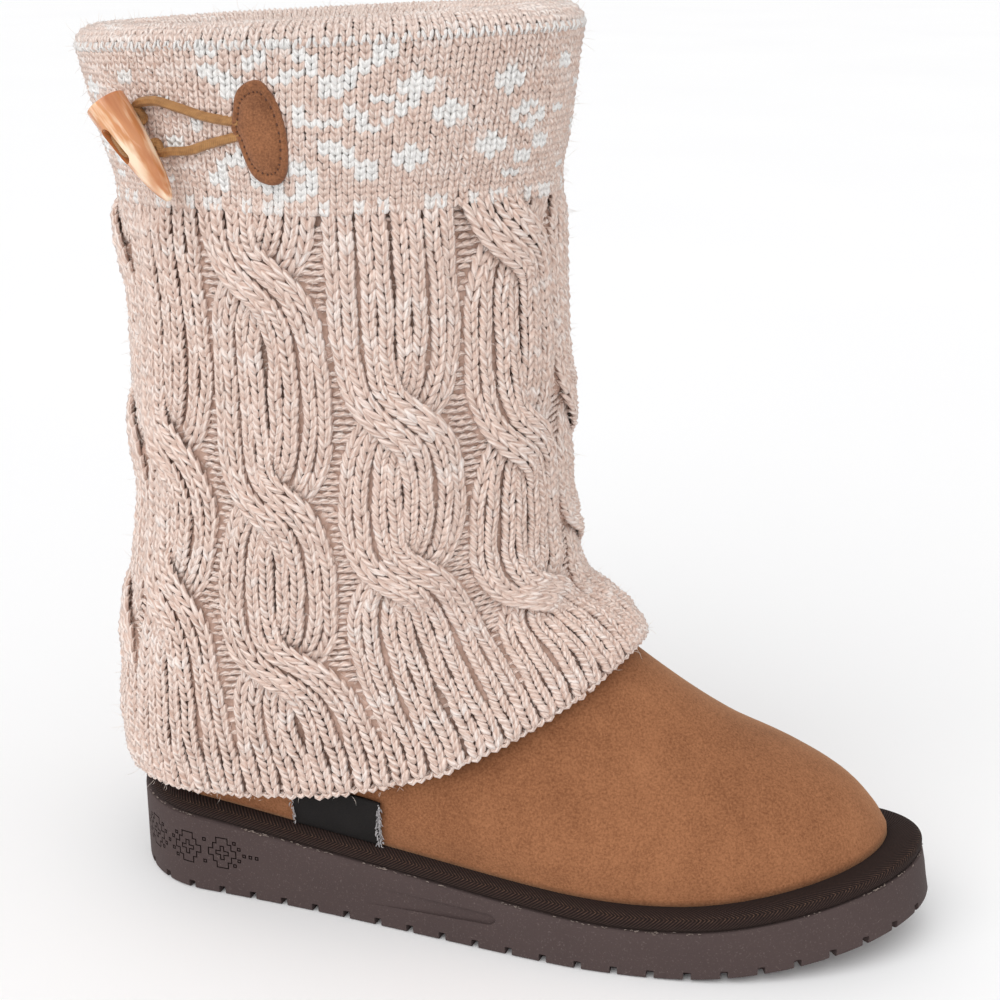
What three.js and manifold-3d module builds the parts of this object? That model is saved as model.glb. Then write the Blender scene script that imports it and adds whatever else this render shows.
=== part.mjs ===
// A right snow boot: suede foot with a lined leg, a cable-knit sleeve over the leg, a taped platform
// and a moulded sole. Millimetres, +X to the toe, -Y to the outer side, +Z up, the ground at z = 0.
// The origin is on the ground under the middle of the sole's length.
import * as THREE from 'three';
import { mergeVertices } from 'three/addons/utils/BufferGeometryUtils.js';
import Module from 'manifold-3d';

const wasm = await Module();
wasm.setup();

// Sole and platform
const SOLE_LENGTH = 270;
const HEEL_X = -SOLE_LENGTH / 2;
const TOE_X = SOLE_LENGTH / 2;
const HEEL_HALF = 41.5;
const HEEL_ROUND = 36;
const BALL = { lateral: 45.9, medial: 43.5 };
const BALL_SWELL = { startX: -75, reach: 112 };
const TOE_ROUND = { lateral: 67.5, medial: 95 };
const TOE_INSWING = { amount: 12.9, startX: 27, reach: 108 };
const INSET_TIGHTENS = { heel: 0.5, toe: 0.8 };
const ARCH = { depth: 4.5, x: -23, reach: 34 };
const TOE_SPRING = { rise: 13.3, startX: 50 };
const SOLE_TOP = [
  { x: -135, z: 28.5 },
  { x: -100, z: 27.5 },
  { x: -60, z: 23.5 },
  { x: -13, z: 20 },
  { x: 20, z: 17.5 },
  { x: 50, z: 16 },
  { x: 75, z: 17.5 },
  { x: 100, z: 21.5 },
  { x: 120, z: 26 },
  { x: 135, z: 30 },
];
const SOLE_STATIONS = 40;
const WALL_LEAN = 2.5;
const NOTCH = { pitch: 11.4, width: 2.4, depth: 4, height: 2.4 };
const TREAD = { pitch: 14, width: 5, depth: 3, margin: 15, heel: [-112, -56], forefoot: [8, 78] };
const PLATFORM_HEIGHT = 6.2;
const PLATFORM_EDGE = [
  { inset: 1.2, height: 0 },
  { inset: 0.4, height: 1.6 },
  { inset: 0.7, height: 3.6 },
  { inset: 2.2, height: 5.4 },
  { inset: 4.6, height: PLATFORM_HEIGHT },
];
const INSOLE = { clearance: 3.4, thickness: 4 };
const GAP = 0.3;

// Foot and leg: each row is one ring of the outer form, from the feather edge up to the collar.
// back and front are the ring's ends on the centre line, halves are half widths, rounds are how far
// each end takes to round off, inswing moves the toe inwards, follow keeps the ring along the sole,
// and rise bends the ring's climb from back to front. Along a ring, as a share of its length from the
// back, the width goes over from heelHalf to its side's own and the toe's inswing sets in.
const RING_COLUMNS = [
  'backX', 'backZ', 'frontX', 'frontZ', 'heelHalf', 'lateral', 'medial',
  'backRound', 'frontRoundLateral', 'frontRoundMedial', 'inswing', 'follow', 'rise',
];
const RING_WIDENS = { from: 0.22, reach: 0.42 };
const RING_SWINGS = { from: 0.6, reach: 0.4 };
const LEG_AXIS_X = -58;
const UPPER_WALL = 3;
const UPPER_RINGS = 21;
const UPPER_FORM = [
  [-127, 34.7, 121, 34.8, 37, 41, 38.6, 30, 60, 86, 12, 1, 1],
  [-130, 42, 116, 42, 39.6, 42.2, 40, 34, 62, 88, 12, 0.95, 1],
  [-132, 50, 107.5, 50, 40.8, 41.6, 40, 38, 64, 90, 11.5, 0.9, 1],
  [-132.5, 57, 93.5, 57.5, 41.3, 39.5, 38.3, 42, 66, 88, 10.5, 0.8, 1],
  [-132, 64, 73.5, 65.5, 41.5, 36, 35.5, 44, 68, 80, 8, 0.6, 1],
  [-131, 72, 56, 74.5, 42, 33.5, 33.5, 48, 72, 76, 5, 0.4, 1.1],
  [-129, 84, 34, 87, 43, 35, 35, 54, 78, 78, 3, 0.2, 1.2],
  [-126, 104, 15, 105, 44.5, 40, 40, 62, 76, 76, 1, 0, 1],
  [-123, 130, 6, 130, 46.5, 46, 46, 64, 64, 64, 0, 0, 1],
  [-121, 170, 4.5, 170, 48, 48, 48, 62, 62, 62, 0, 0, 1],
  [-121, 215, 3.5, 216, 49, 49, 49, 62, 62, 62, 0, 0, 1],
  [-125, 246, 4.5, 248, 51, 51, 51, 65, 65, 65, 0, 0, 1],
  [-129, 263, 7, 267, 52.5, 52.5, 52.5, 68, 68, 68, 0, 0, 1],
];

// Knitted sleeve: the same columns, from the hem over the instep up to the folded rim
const KNIT_WALL = 5;
const FACING = { thickness: 2.6, inset: 11.4, rings: 2 };
const FACING_INSIDE = FACING.inset + FACING.thickness;
const RIM_FOLD = [
  { inset: KNIT_WALL / 2, rise: 3 },
  { inset: FACING_INSIDE / 2, rise: 4 },
  { inset: FACING_INSIDE - FACING.thickness / 2, rise: 2 },
  { inset: FACING_INSIDE, rise: -4 },
];
const FOLD_POCKET_DROP = 8;
const SLEEVE_RINGS = 15;
const SLEEVE_FORM = [
  [-138, 38, 43, 90, 47.5, 46, 46, 44, 62, 62, 3, 0.35, 2.2],
  [-139.5, 47, 40, 94.5, 48.5, 46, 46, 46, 62, 62, 2.5, 0.3, 2.1],
  [-139.5, 60, 32.5, 102, 50, 47, 47, 52, 64, 64, 2, 0.2, 1.9],
  [-137, 80, 22, 111, 51.5, 49.5, 49.5, 58, 66, 66, 1, 0.1, 1.5],
  [-133, 105, 15, 124, 52.5, 52, 52, 64, 68, 68, 0, 0, 1.2],
  [-129, 140, 13.5, 146, 54, 54, 54, 68, 70, 70, 0, 0, 1],
  [-127, 190, 11.5, 192, 54.5, 54.5, 54.5, 69, 69, 69, 0, 0, 1],
  [-129, 226, 10.5, 230, 56, 56, 56, 70, 70, 70, 0, 0, 1],
  [-134, 253, 12.5, 257, 58, 58, 58, 73, 73, 73, 0, 0, 1],
  [-140, 276, 16, 284, 60, 60, 60, 78, 78, 78, 0, 0, 1],
];
const RING_POINTS = 40;
const SIDE_HALVINGS = 30;

// Fastening on the outer side of the collar
const PATCH = { x: -56, z: 256.3, halfWidth: 8, halfHeight: 14.2, thickness: 2, lean: 0.09, sides: 26 };
const TOGGLE = { flat: [-105.5, 263.5], tip: [-86, 236.5], flatProud: 12.2, tipProud: 9, sides: 18 };
const TOGGLE_FACES = [-0.43, -0.9, -0.1];
const TOGGLE_PROFILE = [
  { along: 0, radius: 5.4 },
  { along: 0.03, radius: 6.3 },
  { along: 0.3, radius: 5.9 },
  { along: 0.6, radius: 4.6 },
  { along: 0.85, radius: 3 },
  { along: 0.96, radius: 1.8 },
];
const TOGGLE_HOLES = { along: [0.3, 0.52], diameter: 4.6, sides: 12, recessDepth: 2.8, recessWidth: 5.4 };
const CUT_REACH = 20;
const CORD = { diameter: 2.8, sides: 8, steps: 64, endApart: 4.4, endRaise: 1.6 };
const CORD_PROUD = 1.9;
const CORD_TO_TOGGLE = [
  { x: -73, z: 262, proud: CORD_PROUD },
  { x: -83, z: 263.5, proud: CORD_PROUD + 0.3 },
  { x: -91, z: 262.5, proud: CORD_PROUD + 1 },
];
const CORD_FROM_TOGGLE = [
  { x: -87, z: 250.5, proud: CORD_PROUD + 0.6 },
  { x: -80, z: 250.5, proud: CORD_PROUD },
  { x: -71, z: 253.5, proud: CORD_PROUD },
];
const CORD_BRIDGE = [
  { between: 0.12, drop: 0.4 },
  { between: 0.5, drop: 0 },
  { between: 0.88, drop: 0.4 },
];

const clamp01 = (t) => Math.min(1, Math.max(0, t));
const smooth = (t) => clamp01(t) ** 2 * (3 - 2 * clamp01(t));
const roundOff = (t) => Math.sqrt(1 - (1 - clamp01(t)) ** 2);
const lerp = THREE.MathUtils.lerp;

// A smooth curve through a table's rows, with each tangent weighted by its two spans
function tableValue(keys, values, key) {
  const last = keys.length - 1;
  const k = Math.min(Math.max(key, keys[0]), keys[last]);
  let i = 0;
  while (i < last - 1 && k >= keys[i + 1]) i += 1;
  const slope = (j) => (values[j + 1] - values[j]) / (keys[j + 1] - keys[j]);
  const tangent = (j) => {
    if (j === 0) return slope(0);
    if (j === last) return slope(last - 1);
    const before = keys[j] - keys[j - 1];
    const after = keys[j + 1] - keys[j];
    return (slope(j) * before + slope(j - 1) * after) / (before + after);
  };
  const span = keys[i + 1] - keys[i];
  const t = (k - keys[i]) / span;
  return (2 * t ** 3 - 3 * t ** 2 + 1) * values[i] + (t ** 3 - 2 * t ** 2 + t) * span * tangent(i)
    + (3 * t ** 2 - 2 * t ** 3) * values[i + 1] + (t ** 3 - t ** 2) * span * tangent(i + 1);
}

const soleTop = (x) => tableValue(SOLE_TOP.map((row) => row.x), SOLE_TOP.map((row) => row.z), x);
const platformTop = (x) => soleTop(x) + GAP + PLATFORM_HEIGHT;
const archDip = (x) => ARCH.depth * Math.exp(-(((x - ARCH.x) / ARCH.reach) ** 2));

function groundZ(x) {
  const past = Math.max(0, x - TOE_SPRING.startX) / (TOE_X - TOE_SPRING.startX);
  return TOE_SPRING.rise * past ** 2;
}

// With the toe spring the walls at the toe stand square to the ground face, so they lean back
function wallLean(x) {
  return -WALL_LEAN * smooth((x - TOE_SPRING.startX) / (TOE_X - TOE_SPRING.startX));
}

// Half outline of the sole at station x, drawn in by inset: side -1 is the outer one, +1 the inner
function soleEdgeY(x, side, inset) {
  const name = side < 0 ? 'lateral' : 'medial';
  const arch = side < 0 ? 0 : archDip(x);
  const fromHeel = x - HEEL_X - inset;
  const fromToe = TOE_X - inset - x;
  const toBall = smooth((x - BALL_SWELL.startX) / BALL_SWELL.reach);
  const half = lerp(HEEL_HALF, BALL[name], toBall) - arch - inset;
  const centre = TOE_INSWING.amount * smooth((x - TOE_INSWING.startX) / TOE_INSWING.reach);
  const heel = roundOff(fromHeel / (HEEL_ROUND - inset * INSET_TIGHTENS.heel));
  const toe = roundOff(fromToe / (TOE_ROUND[name] - inset * INSET_TIGHTENS.toe));
  return centre + side * half * heel * toe;
}

// Stations from heel to toe, close together at the round ends, with one where the toe spring starts
function soleStations(inset) {
  const length = SOLE_LENGTH - 2 * inset;
  const stations = Array.from({ length: SOLE_STATIONS + 1 }, (_, i) => (
    HEEL_X + inset + (length * (1 - Math.cos((Math.PI * i) / SOLE_STATIONS))) / 2));
  const nearest = stations.reduce((best, x, i) => (
    Math.abs(x - TOE_SPRING.startX) < Math.abs(stations[best] - TOE_SPRING.startX) ? i : best), 0);
  stations[nearest] = TOE_SPRING.startX;
  return stations;
}

// A closed geometry from points and triangles, turned so that its faces point out
function closedGeometry(points, triangles) {
  let volume = 0;
  const cross = new THREE.Vector3();
  for (const [a, b, c] of triangles) {
    volume += points[a].dot(cross.crossVectors(points[b], points[c]));
  }
  const index = triangles.flatMap(([a, b, c]) => (volume < 0 ? [a, c, b] : [a, b, c]));
  const geometry = new THREE.BufferGeometry();
  geometry.setAttribute('position', new THREE.Float32BufferAttribute(points.flatMap((p) => p.toArray()), 3));
  geometry.setIndex(index);
  return geometry;
}

// Rings joined one to the next and the last to the first, as a thick-walled tube
function tubeWall(rings) {
  const count = rings[0].length;
  const triangles = [];
  rings.forEach((_, r) => {
    const here = r * count;
    const next = ((r + 1) % rings.length) * count;
    for (let i = 0; i < count; i += 1) {
      const j = (i + 1) % count;
      triangles.push([here + i, here + j, next + j], [here + i, next + j, next + i]);
    }
  });
  return closedGeometry(rings.flat(), triangles);
}

// A slab between two outlines of the sole: each layer gives its inset and its height at a station
function soleSlab(layers) {
  const points = [];
  const triangles = [];
  const count = SOLE_STATIONS + 1;
  const sides = layers.map((layer) => {
    const xs = soleStations(layer.inset);
    return [-1, 1].map((side) => xs.map((x, i) => {
      const sharedTip = side > 0 && (i === 0 || i === SOLE_STATIONS);
      const movedX = x + (layer.shift?.(x) ?? 0);
      const y = soleEdgeY(x, side, layer.inset);
      if (!sharedTip) points.push(new THREE.Vector3(movedX, y, layer.z(movedX)));
      return points.length - 1;
    }));
  });
  for (const [lateral, medial] of sides) {
    medial[0] = lateral[0];
    medial[count - 1] = lateral[count - 1];
  }
  const quad = (a, b, c, d) => {
    if (a !== b && b !== c && a !== c) triangles.push([a, b, c]);
    if (a !== c && c !== d && a !== d) triangles.push([a, c, d]);
  };
  for (let i = 0; i < SOLE_STATIONS; i += 1) {
    const [bottomLateral, bottomMedial] = sides[0];
    const [topLateral, topMedial] = sides[sides.length - 1];
    quad(bottomLateral[i], bottomMedial[i], bottomMedial[i + 1], bottomLateral[i + 1]);
    quad(topLateral[i], topLateral[i + 1], topMedial[i + 1], topMedial[i]);
    for (let k = 0; k < sides.length - 1; k += 1) {
      const [lowLateral, lowMedial] = sides[k];
      const [highLateral, highMedial] = sides[k + 1];
      quad(lowLateral[i], lowLateral[i + 1], highLateral[i + 1], highLateral[i]);
      quad(lowMedial[i + 1], lowMedial[i], highMedial[i], highMedial[i + 1]);
    }
  }
  return closedGeometry(points, triangles);
}

function toManifold(geometry) {
  const bare = geometry.clone();
  bare.deleteAttribute('normal');
  bare.deleteAttribute('uv');
  const merged = mergeVertices(bare, 1e-4);
  return new wasm.Manifold(new wasm.Mesh({
    numProp: 3,
    vertProperties: new Float32Array(merged.attributes.position.array),
    triVerts: new Uint32Array(merged.index.array),
  }));
}

function toGeometry(manifold) {
  const mesh = manifold.getMesh();
  const geometry = new THREE.BufferGeometry();
  geometry.setAttribute('position', new THREE.BufferAttribute(mesh.vertProperties, 3));
  geometry.setIndex(new THREE.BufferAttribute(mesh.triVerts, 1));
  return geometry;
}

const cutAll = (geometry, tools) => toGeometry(
  tools.reduce((solid, tool) => solid.subtract(toManifold(tool)), toManifold(geometry)));

// One ring of a form at row position u, counted from its first row: back first, then the outer side
function formRow(form, u) {
  const keys = form.map((_, i) => i);
  return Object.fromEntries(RING_COLUMNS.map((name, c) => (
    [name, tableValue(keys, form.map((row) => row[c]), u)])));
}

function formPoint(row, angle) {
  const length = row.frontX - row.backX;
  const along = (1 - Math.cos(angle)) / 2;
  const side = angle <= Math.PI ? -1 : 1;
  const x = row.backX + length * along;
  const wide = side < 0 ? row.lateral : row.medial;
  const frontRound = side < 0 ? row.frontRoundLateral : row.frontRoundMedial;
  const half = lerp(row.heelHalf, wide, smooth((along - RING_WIDENS.from) / RING_WIDENS.reach));
  const ends = roundOff((length * along) / row.backRound) * roundOff((length * (1 - along)) / frontRound);
  const arch = side < 0 ? 0 : archDip(x) * row.follow;
  const centre = row.inswing * smooth((along - RING_SWINGS.from) / RING_SWINGS.reach);
  const y = centre + side * half * ends - arch;
  const climb = along ** row.rise;
  const level = lerp(row.backZ, row.frontZ, climb);
  const backAbove = row.backZ - platformTop(row.backX);
  const frontAbove = row.frontZ - platformTop(row.frontX);
  const followed = platformTop(x) + lerp(backAbove, frontAbove, climb);
  return new THREE.Vector3(x, y, lerp(level, followed, row.follow));
}

function formRings(form, count) {
  return Array.from({ length: count }, (_, r) => {
    const row = formRow(form, (r * (form.length - 1)) / (count - 1));
    return Array.from({ length: RING_POINTS }, (_, i) => formPoint(row, (2 * Math.PI * i) / RING_POINTS));
  });
}

// The same rings moved inwards along the form's own normals
function insetRings(rings, depth) {
  const along = new THREE.Vector3();
  const around = new THREE.Vector3();
  return rings.map((ring, r) => ring.map((point, i) => {
    const count = ring.length;
    const above = rings[Math.min(r + 1, rings.length - 1)][i];
    const below = rings[Math.max(r - 1, 0)][i];
    along.subVectors(above, below);
    around.subVectors(ring[(i + 1) % count], ring[(i + count - 1) % count]);
    const inward = new THREE.Vector3().crossVectors(around, along).normalize();
    const toAxis = new THREE.Vector3(LEG_AXIS_X - point.x, -point.y, 0);
    if (inward.dot(toAxis) < 0) inward.negate();
    return point.clone().addScaledVector(inward, depth);
  }));
}

function buildOutsole() {
  const slab = soleSlab([
    { inset: 0, z: groundZ },
    { inset: 0, z: (x) => lerp(groundZ(x), soleTop(x), 0.5), shift: (x) => wallLean(x) / 2 },
    { inset: 0, z: soleTop, shift: wallLean },
  ]);
  const tools = [];
  for (const side of [-1, 1]) {
    const edge = new THREE.CatmullRomCurve3(
      soleStations(0).map((x) => new THREE.Vector3(x, soleEdgeY(x, side, 0), groundZ(x))));
    const notches = Math.floor(edge.getLength() / NOTCH.pitch);
    for (let i = 1; i < notches; i += 1) {
      const at = edge.getPointAt(i / notches);
      const heading = edge.getTangentAt(i / notches);
      const notch = new THREE.BoxGeometry(NOTCH.width, NOTCH.depth * 2, NOTCH.height * 2);
      notch.rotateZ(Math.atan2(heading.y, heading.x));
      notch.translate(at.x, at.y, at.z);
      tools.push(notch);
    }
  }
  for (const [from, to] of [TREAD.heel, TREAD.forefoot]) {
    for (let x = from; x <= to; x += TREAD.pitch) {
      const reach = [-1, 1].map((side) => soleEdgeY(x, side, TREAD.margin));
      const groove = new THREE.BoxGeometry(TREAD.width, reach[1] - reach[0], TREAD.depth * 2);
      groove.translate(x, (reach[0] + reach[1]) / 2, groundZ(x));
      tools.push(groove);
    }
  }
  return cutAll(slab, tools);
}

function buildPlatform() {
  return soleSlab(PLATFORM_EDGE.map(({ inset, height }) => (
    { inset, z: (x) => soleTop(x) + GAP + height, shift: wallLean })));
}

// The footbed fills the upper's lowest ring, a little inside its wall
function buildInsole() {
  const outer = formRings(UPPER_FORM, UPPER_RINGS);
  const edge = insetRings(outer, UPPER_WALL + INSOLE.clearance)[0];
  const half = RING_POINTS / 2;
  const layers = [GAP, GAP + INSOLE.thickness].map((height) => (
    edge.map((point) => new THREE.Vector3(point.x, point.y, platformTop(point.x) + height))));
  const triangles = [];
  for (let i = 0; i < RING_POINTS; i += 1) {
    const next = (i + 1) % RING_POINTS;
    triangles.push([i, next, RING_POINTS + next], [i, RING_POINTS + next, RING_POINTS + i]);
  }
  for (let i = 0; i < half; i += 1) {
    const across = (RING_POINTS - i) % RING_POINTS;
    const acrossNext = RING_POINTS - i - 1;
    for (const [base, flip] of [[0, true], [RING_POINTS, false]]) {
      const corners = [i, i + 1, acrossNext, across].map((k) => base + k);
      const fan = [[corners[0], corners[1], corners[2]], [corners[0], corners[2], corners[3]]];
      for (const [a, b, c] of fan) {
        if (a !== b && b !== c && a !== c) triangles.push(flip ? [a, c, b] : [a, b, c]);
      }
    }
  }
  return closedGeometry(layers.flat(), triangles);
}

// The upper stands on the platform, open underneath and at the collar
function buildUpper() {
  const outer = formRings(UPPER_FORM, UPPER_RINGS);
  outer[0].forEach((point) => { point.z = platformTop(point.x) + GAP; });
  const inner = insetRings(outer, UPPER_WALL);
  const lastRing = UPPER_RINGS - 1;
  for (const edge of [0, lastRing]) inner[edge].forEach((point, i) => { point.z = outer[edge][i].z; });
  return tubeWall([...outer, ...inner.reverse()]);
}

// The sleeve is folded in over the leg's top edge, so its section is a hairpin round that edge
function buildSleeve() {
  const outer = formRings(SLEEVE_FORM, SLEEVE_RINGS);
  const inner = insetRings(outer, KNIT_WALL);
  const rim = outer[SLEEVE_RINGS - 1];
  const drawnIn = ({ inset, rise }) => {
    const moved = insetRings(outer, inset)[SLEEVE_RINGS - 1];
    return moved.map((point, i) => new THREE.Vector3(point.x, point.y, rim[i].z + rise));
  };
  const facingFrom = SLEEVE_RINGS - 1 - FACING.rings;
  const facingBack = insetRings(outer, FACING.inset).slice(facingFrom, SLEEVE_RINGS - 1);
  const facingFront = insetRings(outer, FACING_INSIDE).slice(facingFrom, SLEEVE_RINGS - 1);
  return tubeWall([
    ...outer,
    ...RIM_FOLD.map(drawnIn),
    ...facingFront.reverse(),
    ...facingBack,
    drawnIn({ inset: FACING.inset, rise: -FOLD_POCKET_DROP }),
    drawnIn({ inset: KNIT_WALL, rise: -FOLD_POCKET_DROP }),
    ...inner.slice(0, SLEEVE_RINGS - 1).reverse(),
  ]);
}

// The sleeve's outer side at x and z, found by closing in on the ring that passes through it
function sleeveSideY(x, z) {
  let low = 0;
  let high = SLEEVE_FORM.length - 1;
  let point;
  for (let i = 0; i < SIDE_HALVINGS; i += 1) {
    const row = formRow(SLEEVE_FORM, (low + high) / 2);
    const along = (x - row.backX) / (row.frontX - row.backX);
    point = formPoint(row, Math.acos(1 - 2 * along));
    if (point.z < z) low = (low + high) / 2;
    else high = (low + high) / 2;
  }
  return point.y;
}

const onSleeve = (x, z, proud) => new THREE.Vector3(x, sleeveSideY(x, z) - proud, z);

// An oval plate that follows the sleeve, from its back layer to its front layer
function buildPatch() {
  const layers = [GAP * 2, GAP * 2 + PATCH.thickness];
  const points = [];
  const triangles = [];
  for (const proud of layers) {
    points.push(onSleeve(PATCH.x, PATCH.z, proud));
    for (let i = 0; i < PATCH.sides; i += 1) {
      const angle = (2 * Math.PI * i) / PATCH.sides;
      const up = PATCH.halfHeight * Math.sin(angle);
      const across = PATCH.halfWidth * Math.cos(angle) - PATCH.lean * up;
      points.push(onSleeve(PATCH.x + across, PATCH.z + up, proud));
    }
  }
  const front = PATCH.sides + 1;
  for (let i = 0; i < PATCH.sides; i += 1) {
    const here = 1 + i;
    const next = 1 + ((i + 1) % PATCH.sides);
    triangles.push([0, next, here], [front, front + here, front + next]);
    triangles.push([here, next, front + next], [here, front + next, front + here]);
  }
  return closedGeometry(points, triangles);
}

const toggleFlat = onSleeve(...TOGGLE.flat, TOGGLE.flatProud);
const toggleTip = onSleeve(...TOGGLE.tip, TOGGLE.tipProud);
const toggleLength = toggleFlat.distanceTo(toggleTip);
const toggleAxis = toggleTip.clone().sub(toggleFlat).normalize();
const toggleOut = new THREE.Vector3(...TOGGLE_FACES).projectOnPlane(toggleAxis).normalize();
const toggleSide = new THREE.Vector3().crossVectors(toggleAxis, toggleOut);
const toggleFrame = new THREE.Matrix4().makeBasis(toggleSide, toggleAxis, toggleOut).setPosition(toggleFlat);

function toggleRadius(along) {
  return tableValue(TOGGLE_PROFILE.map((row) => row.along), TOGGLE_PROFILE.map((row) => row.radius), along);
}

// A turned tusk, cut flat at its wide end, with a slot and two cord holes in its face
function buildToggle() {
  const profile = [
    new THREE.Vector2(0, 0),
    ...TOGGLE_PROFILE.map((row) => new THREE.Vector2(row.radius, row.along * toggleLength)),
    new THREE.Vector2(0, toggleLength),
  ];
  const tusk = new THREE.LatheGeometry(profile, TOGGLE.sides);
  const [first, second] = TOGGLE_HOLES.along.map((along) => along * toggleLength);
  const holeRadius = TOGGLE_HOLES.diameter / 2;
  const holes = [first, second].map((along) => {
    const hole = new THREE.CylinderGeometry(holeRadius, holeRadius, CUT_REACH * 2, TOGGLE_HOLES.sides);
    return hole.rotateX(Math.PI / 2).translate(0, along, 0);
  });
  const slotLength = second - first + TOGGLE_HOLES.recessWidth;
  const floor = toggleRadius(TOGGLE_HOLES.along[1]) - TOGGLE_HOLES.recessDepth;
  const slot = new THREE.BoxGeometry(TOGGLE_HOLES.recessWidth, slotLength, CUT_REACH);
  slot.translate(0, (first + second) / 2, floor + CUT_REACH / 2);
  return cutAll(tusk, [...holes, slot]).applyMatrix4(toggleFrame);
}

// The elastic runs from the patch behind the toggle, out and back through its holes, to the patch
function buildLoop() {
  const inToggle = (along, out) => (
    new THREE.Vector3(0, along * toggleLength, out).applyMatrix4(toggleFrame));
  const [first, second] = TOGGLE_HOLES.along;
  const bridge = toggleRadius(second) - TOGGLE_HOLES.recessDepth + CORD.diameter / 2 + GAP;
  const behind = (along) => -(toggleRadius(along) + CORD.diameter / 2 + GAP);
  const edge = PATCH.x - PATCH.halfWidth - GAP * 2;
  const end = (up) => onSleeve(edge, PATCH.z + CORD.endRaise + (up * CORD.endApart) / 2, CORD_PROUD);
  const route = new THREE.CatmullRomCurve3([
    end(1),
    ...CORD_TO_TOGGLE.map(({ x, z, proud }) => onSleeve(x, z, proud)),
    inToggle(first, behind(first)),
    inToggle(first, 0),
    ...CORD_BRIDGE.map(({ between, drop }) => inToggle(lerp(first, second, between), bridge - drop)),
    inToggle(second, 0),
    inToggle(second, behind(second)),
    ...CORD_FROM_TOGGLE.map(({ x, z, proud }) => onSleeve(x, z, proud)),
    end(-1),
  ], false, 'centripetal');
  const section = new THREE.Shape();
  for (let i = 0; i < CORD.sides; i += 1) {
    const angle = (2 * Math.PI * i) / CORD.sides;
    const corner = [(CORD.diameter / 2) * Math.cos(angle), (CORD.diameter / 2) * Math.sin(angle)];
    if (i === 0) section.moveTo(...corner);
    else section.lineTo(...corner);
  }
  return new THREE.ExtrudeGeometry(section, { steps: CORD.steps, extrudePath: route, bevelEnabled: false });
}

const PIECES = [
  { name: 'outsole', build: buildOutsole, color: 0x4e423f, roughness: 0.85 },
  { name: 'platform', build: buildPlatform, color: 0x342622, roughness: 0.9 },
  { name: 'insole', build: buildInsole, color: 0xd9cdbb, roughness: 0.95 },
  { name: 'upper', build: buildUpper, color: 0xa56e41, roughness: 0.9 },
  { name: 'shaft', build: buildSleeve, color: 0xc9ae9c, roughness: 0.95 },
  { name: 'patch', build: buildPatch, color: 0x965f37, roughness: 0.85 },
  { name: 'loop', build: buildLoop, color: 0xa87d46, roughness: 0.8 },
  { name: 'toggle', build: buildToggle, color: 0xcd874b, roughness: 0.25 },
];

const boot = new THREE.Group();
for (const { name, build, color, roughness } of PIECES) {
  const material = new THREE.MeshStandardMaterial({ color, roughness, metalness: 0 });
  const mesh = new THREE.Mesh(build(), material);
  mesh.name = name;
  boot.add(mesh);
}

export default boot;
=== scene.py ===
import math

import bmesh
import bpy
import numpy as np
from mathutils import Matrix, Vector


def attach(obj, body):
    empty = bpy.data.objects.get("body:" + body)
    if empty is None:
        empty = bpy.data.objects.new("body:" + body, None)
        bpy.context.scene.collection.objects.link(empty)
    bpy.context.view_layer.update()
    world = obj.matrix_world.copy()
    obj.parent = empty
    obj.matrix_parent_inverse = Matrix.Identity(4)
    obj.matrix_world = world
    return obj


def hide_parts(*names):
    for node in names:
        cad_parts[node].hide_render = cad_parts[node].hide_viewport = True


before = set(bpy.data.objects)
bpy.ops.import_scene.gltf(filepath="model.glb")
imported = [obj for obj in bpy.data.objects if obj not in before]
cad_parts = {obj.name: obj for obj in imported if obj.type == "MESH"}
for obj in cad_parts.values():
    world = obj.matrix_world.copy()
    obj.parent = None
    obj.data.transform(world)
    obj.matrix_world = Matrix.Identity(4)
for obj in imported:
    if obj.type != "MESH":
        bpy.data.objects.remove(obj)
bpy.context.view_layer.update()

MM = 0.001
rng = np.random.default_rng(11)


# Studio: a plain pale floor under two soft lights and a white sky. The camera stands in front of the
# outer side, a little toward the toe, and looks down on it. The finishes are written with the Shade class.
CAMERA_PLACE = (0.1672, -0.5044, 0.3139)
CAMERA_TURN = (math.radians(71.579), 0, math.radians(19))
CAMERA_LENS = 63.39
FLOOR_HALF = 12
LIGHTS = (
    {"name": "key", "place": (-0.35, -1.0, 0.95), "watts": 1.45, "spread": 60},
    {"name": "fill", "place": (0.9, -0.5, 0.9), "watts": 0.5, "spread": 90},
)
SKY_STRENGTH = 0.68


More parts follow.
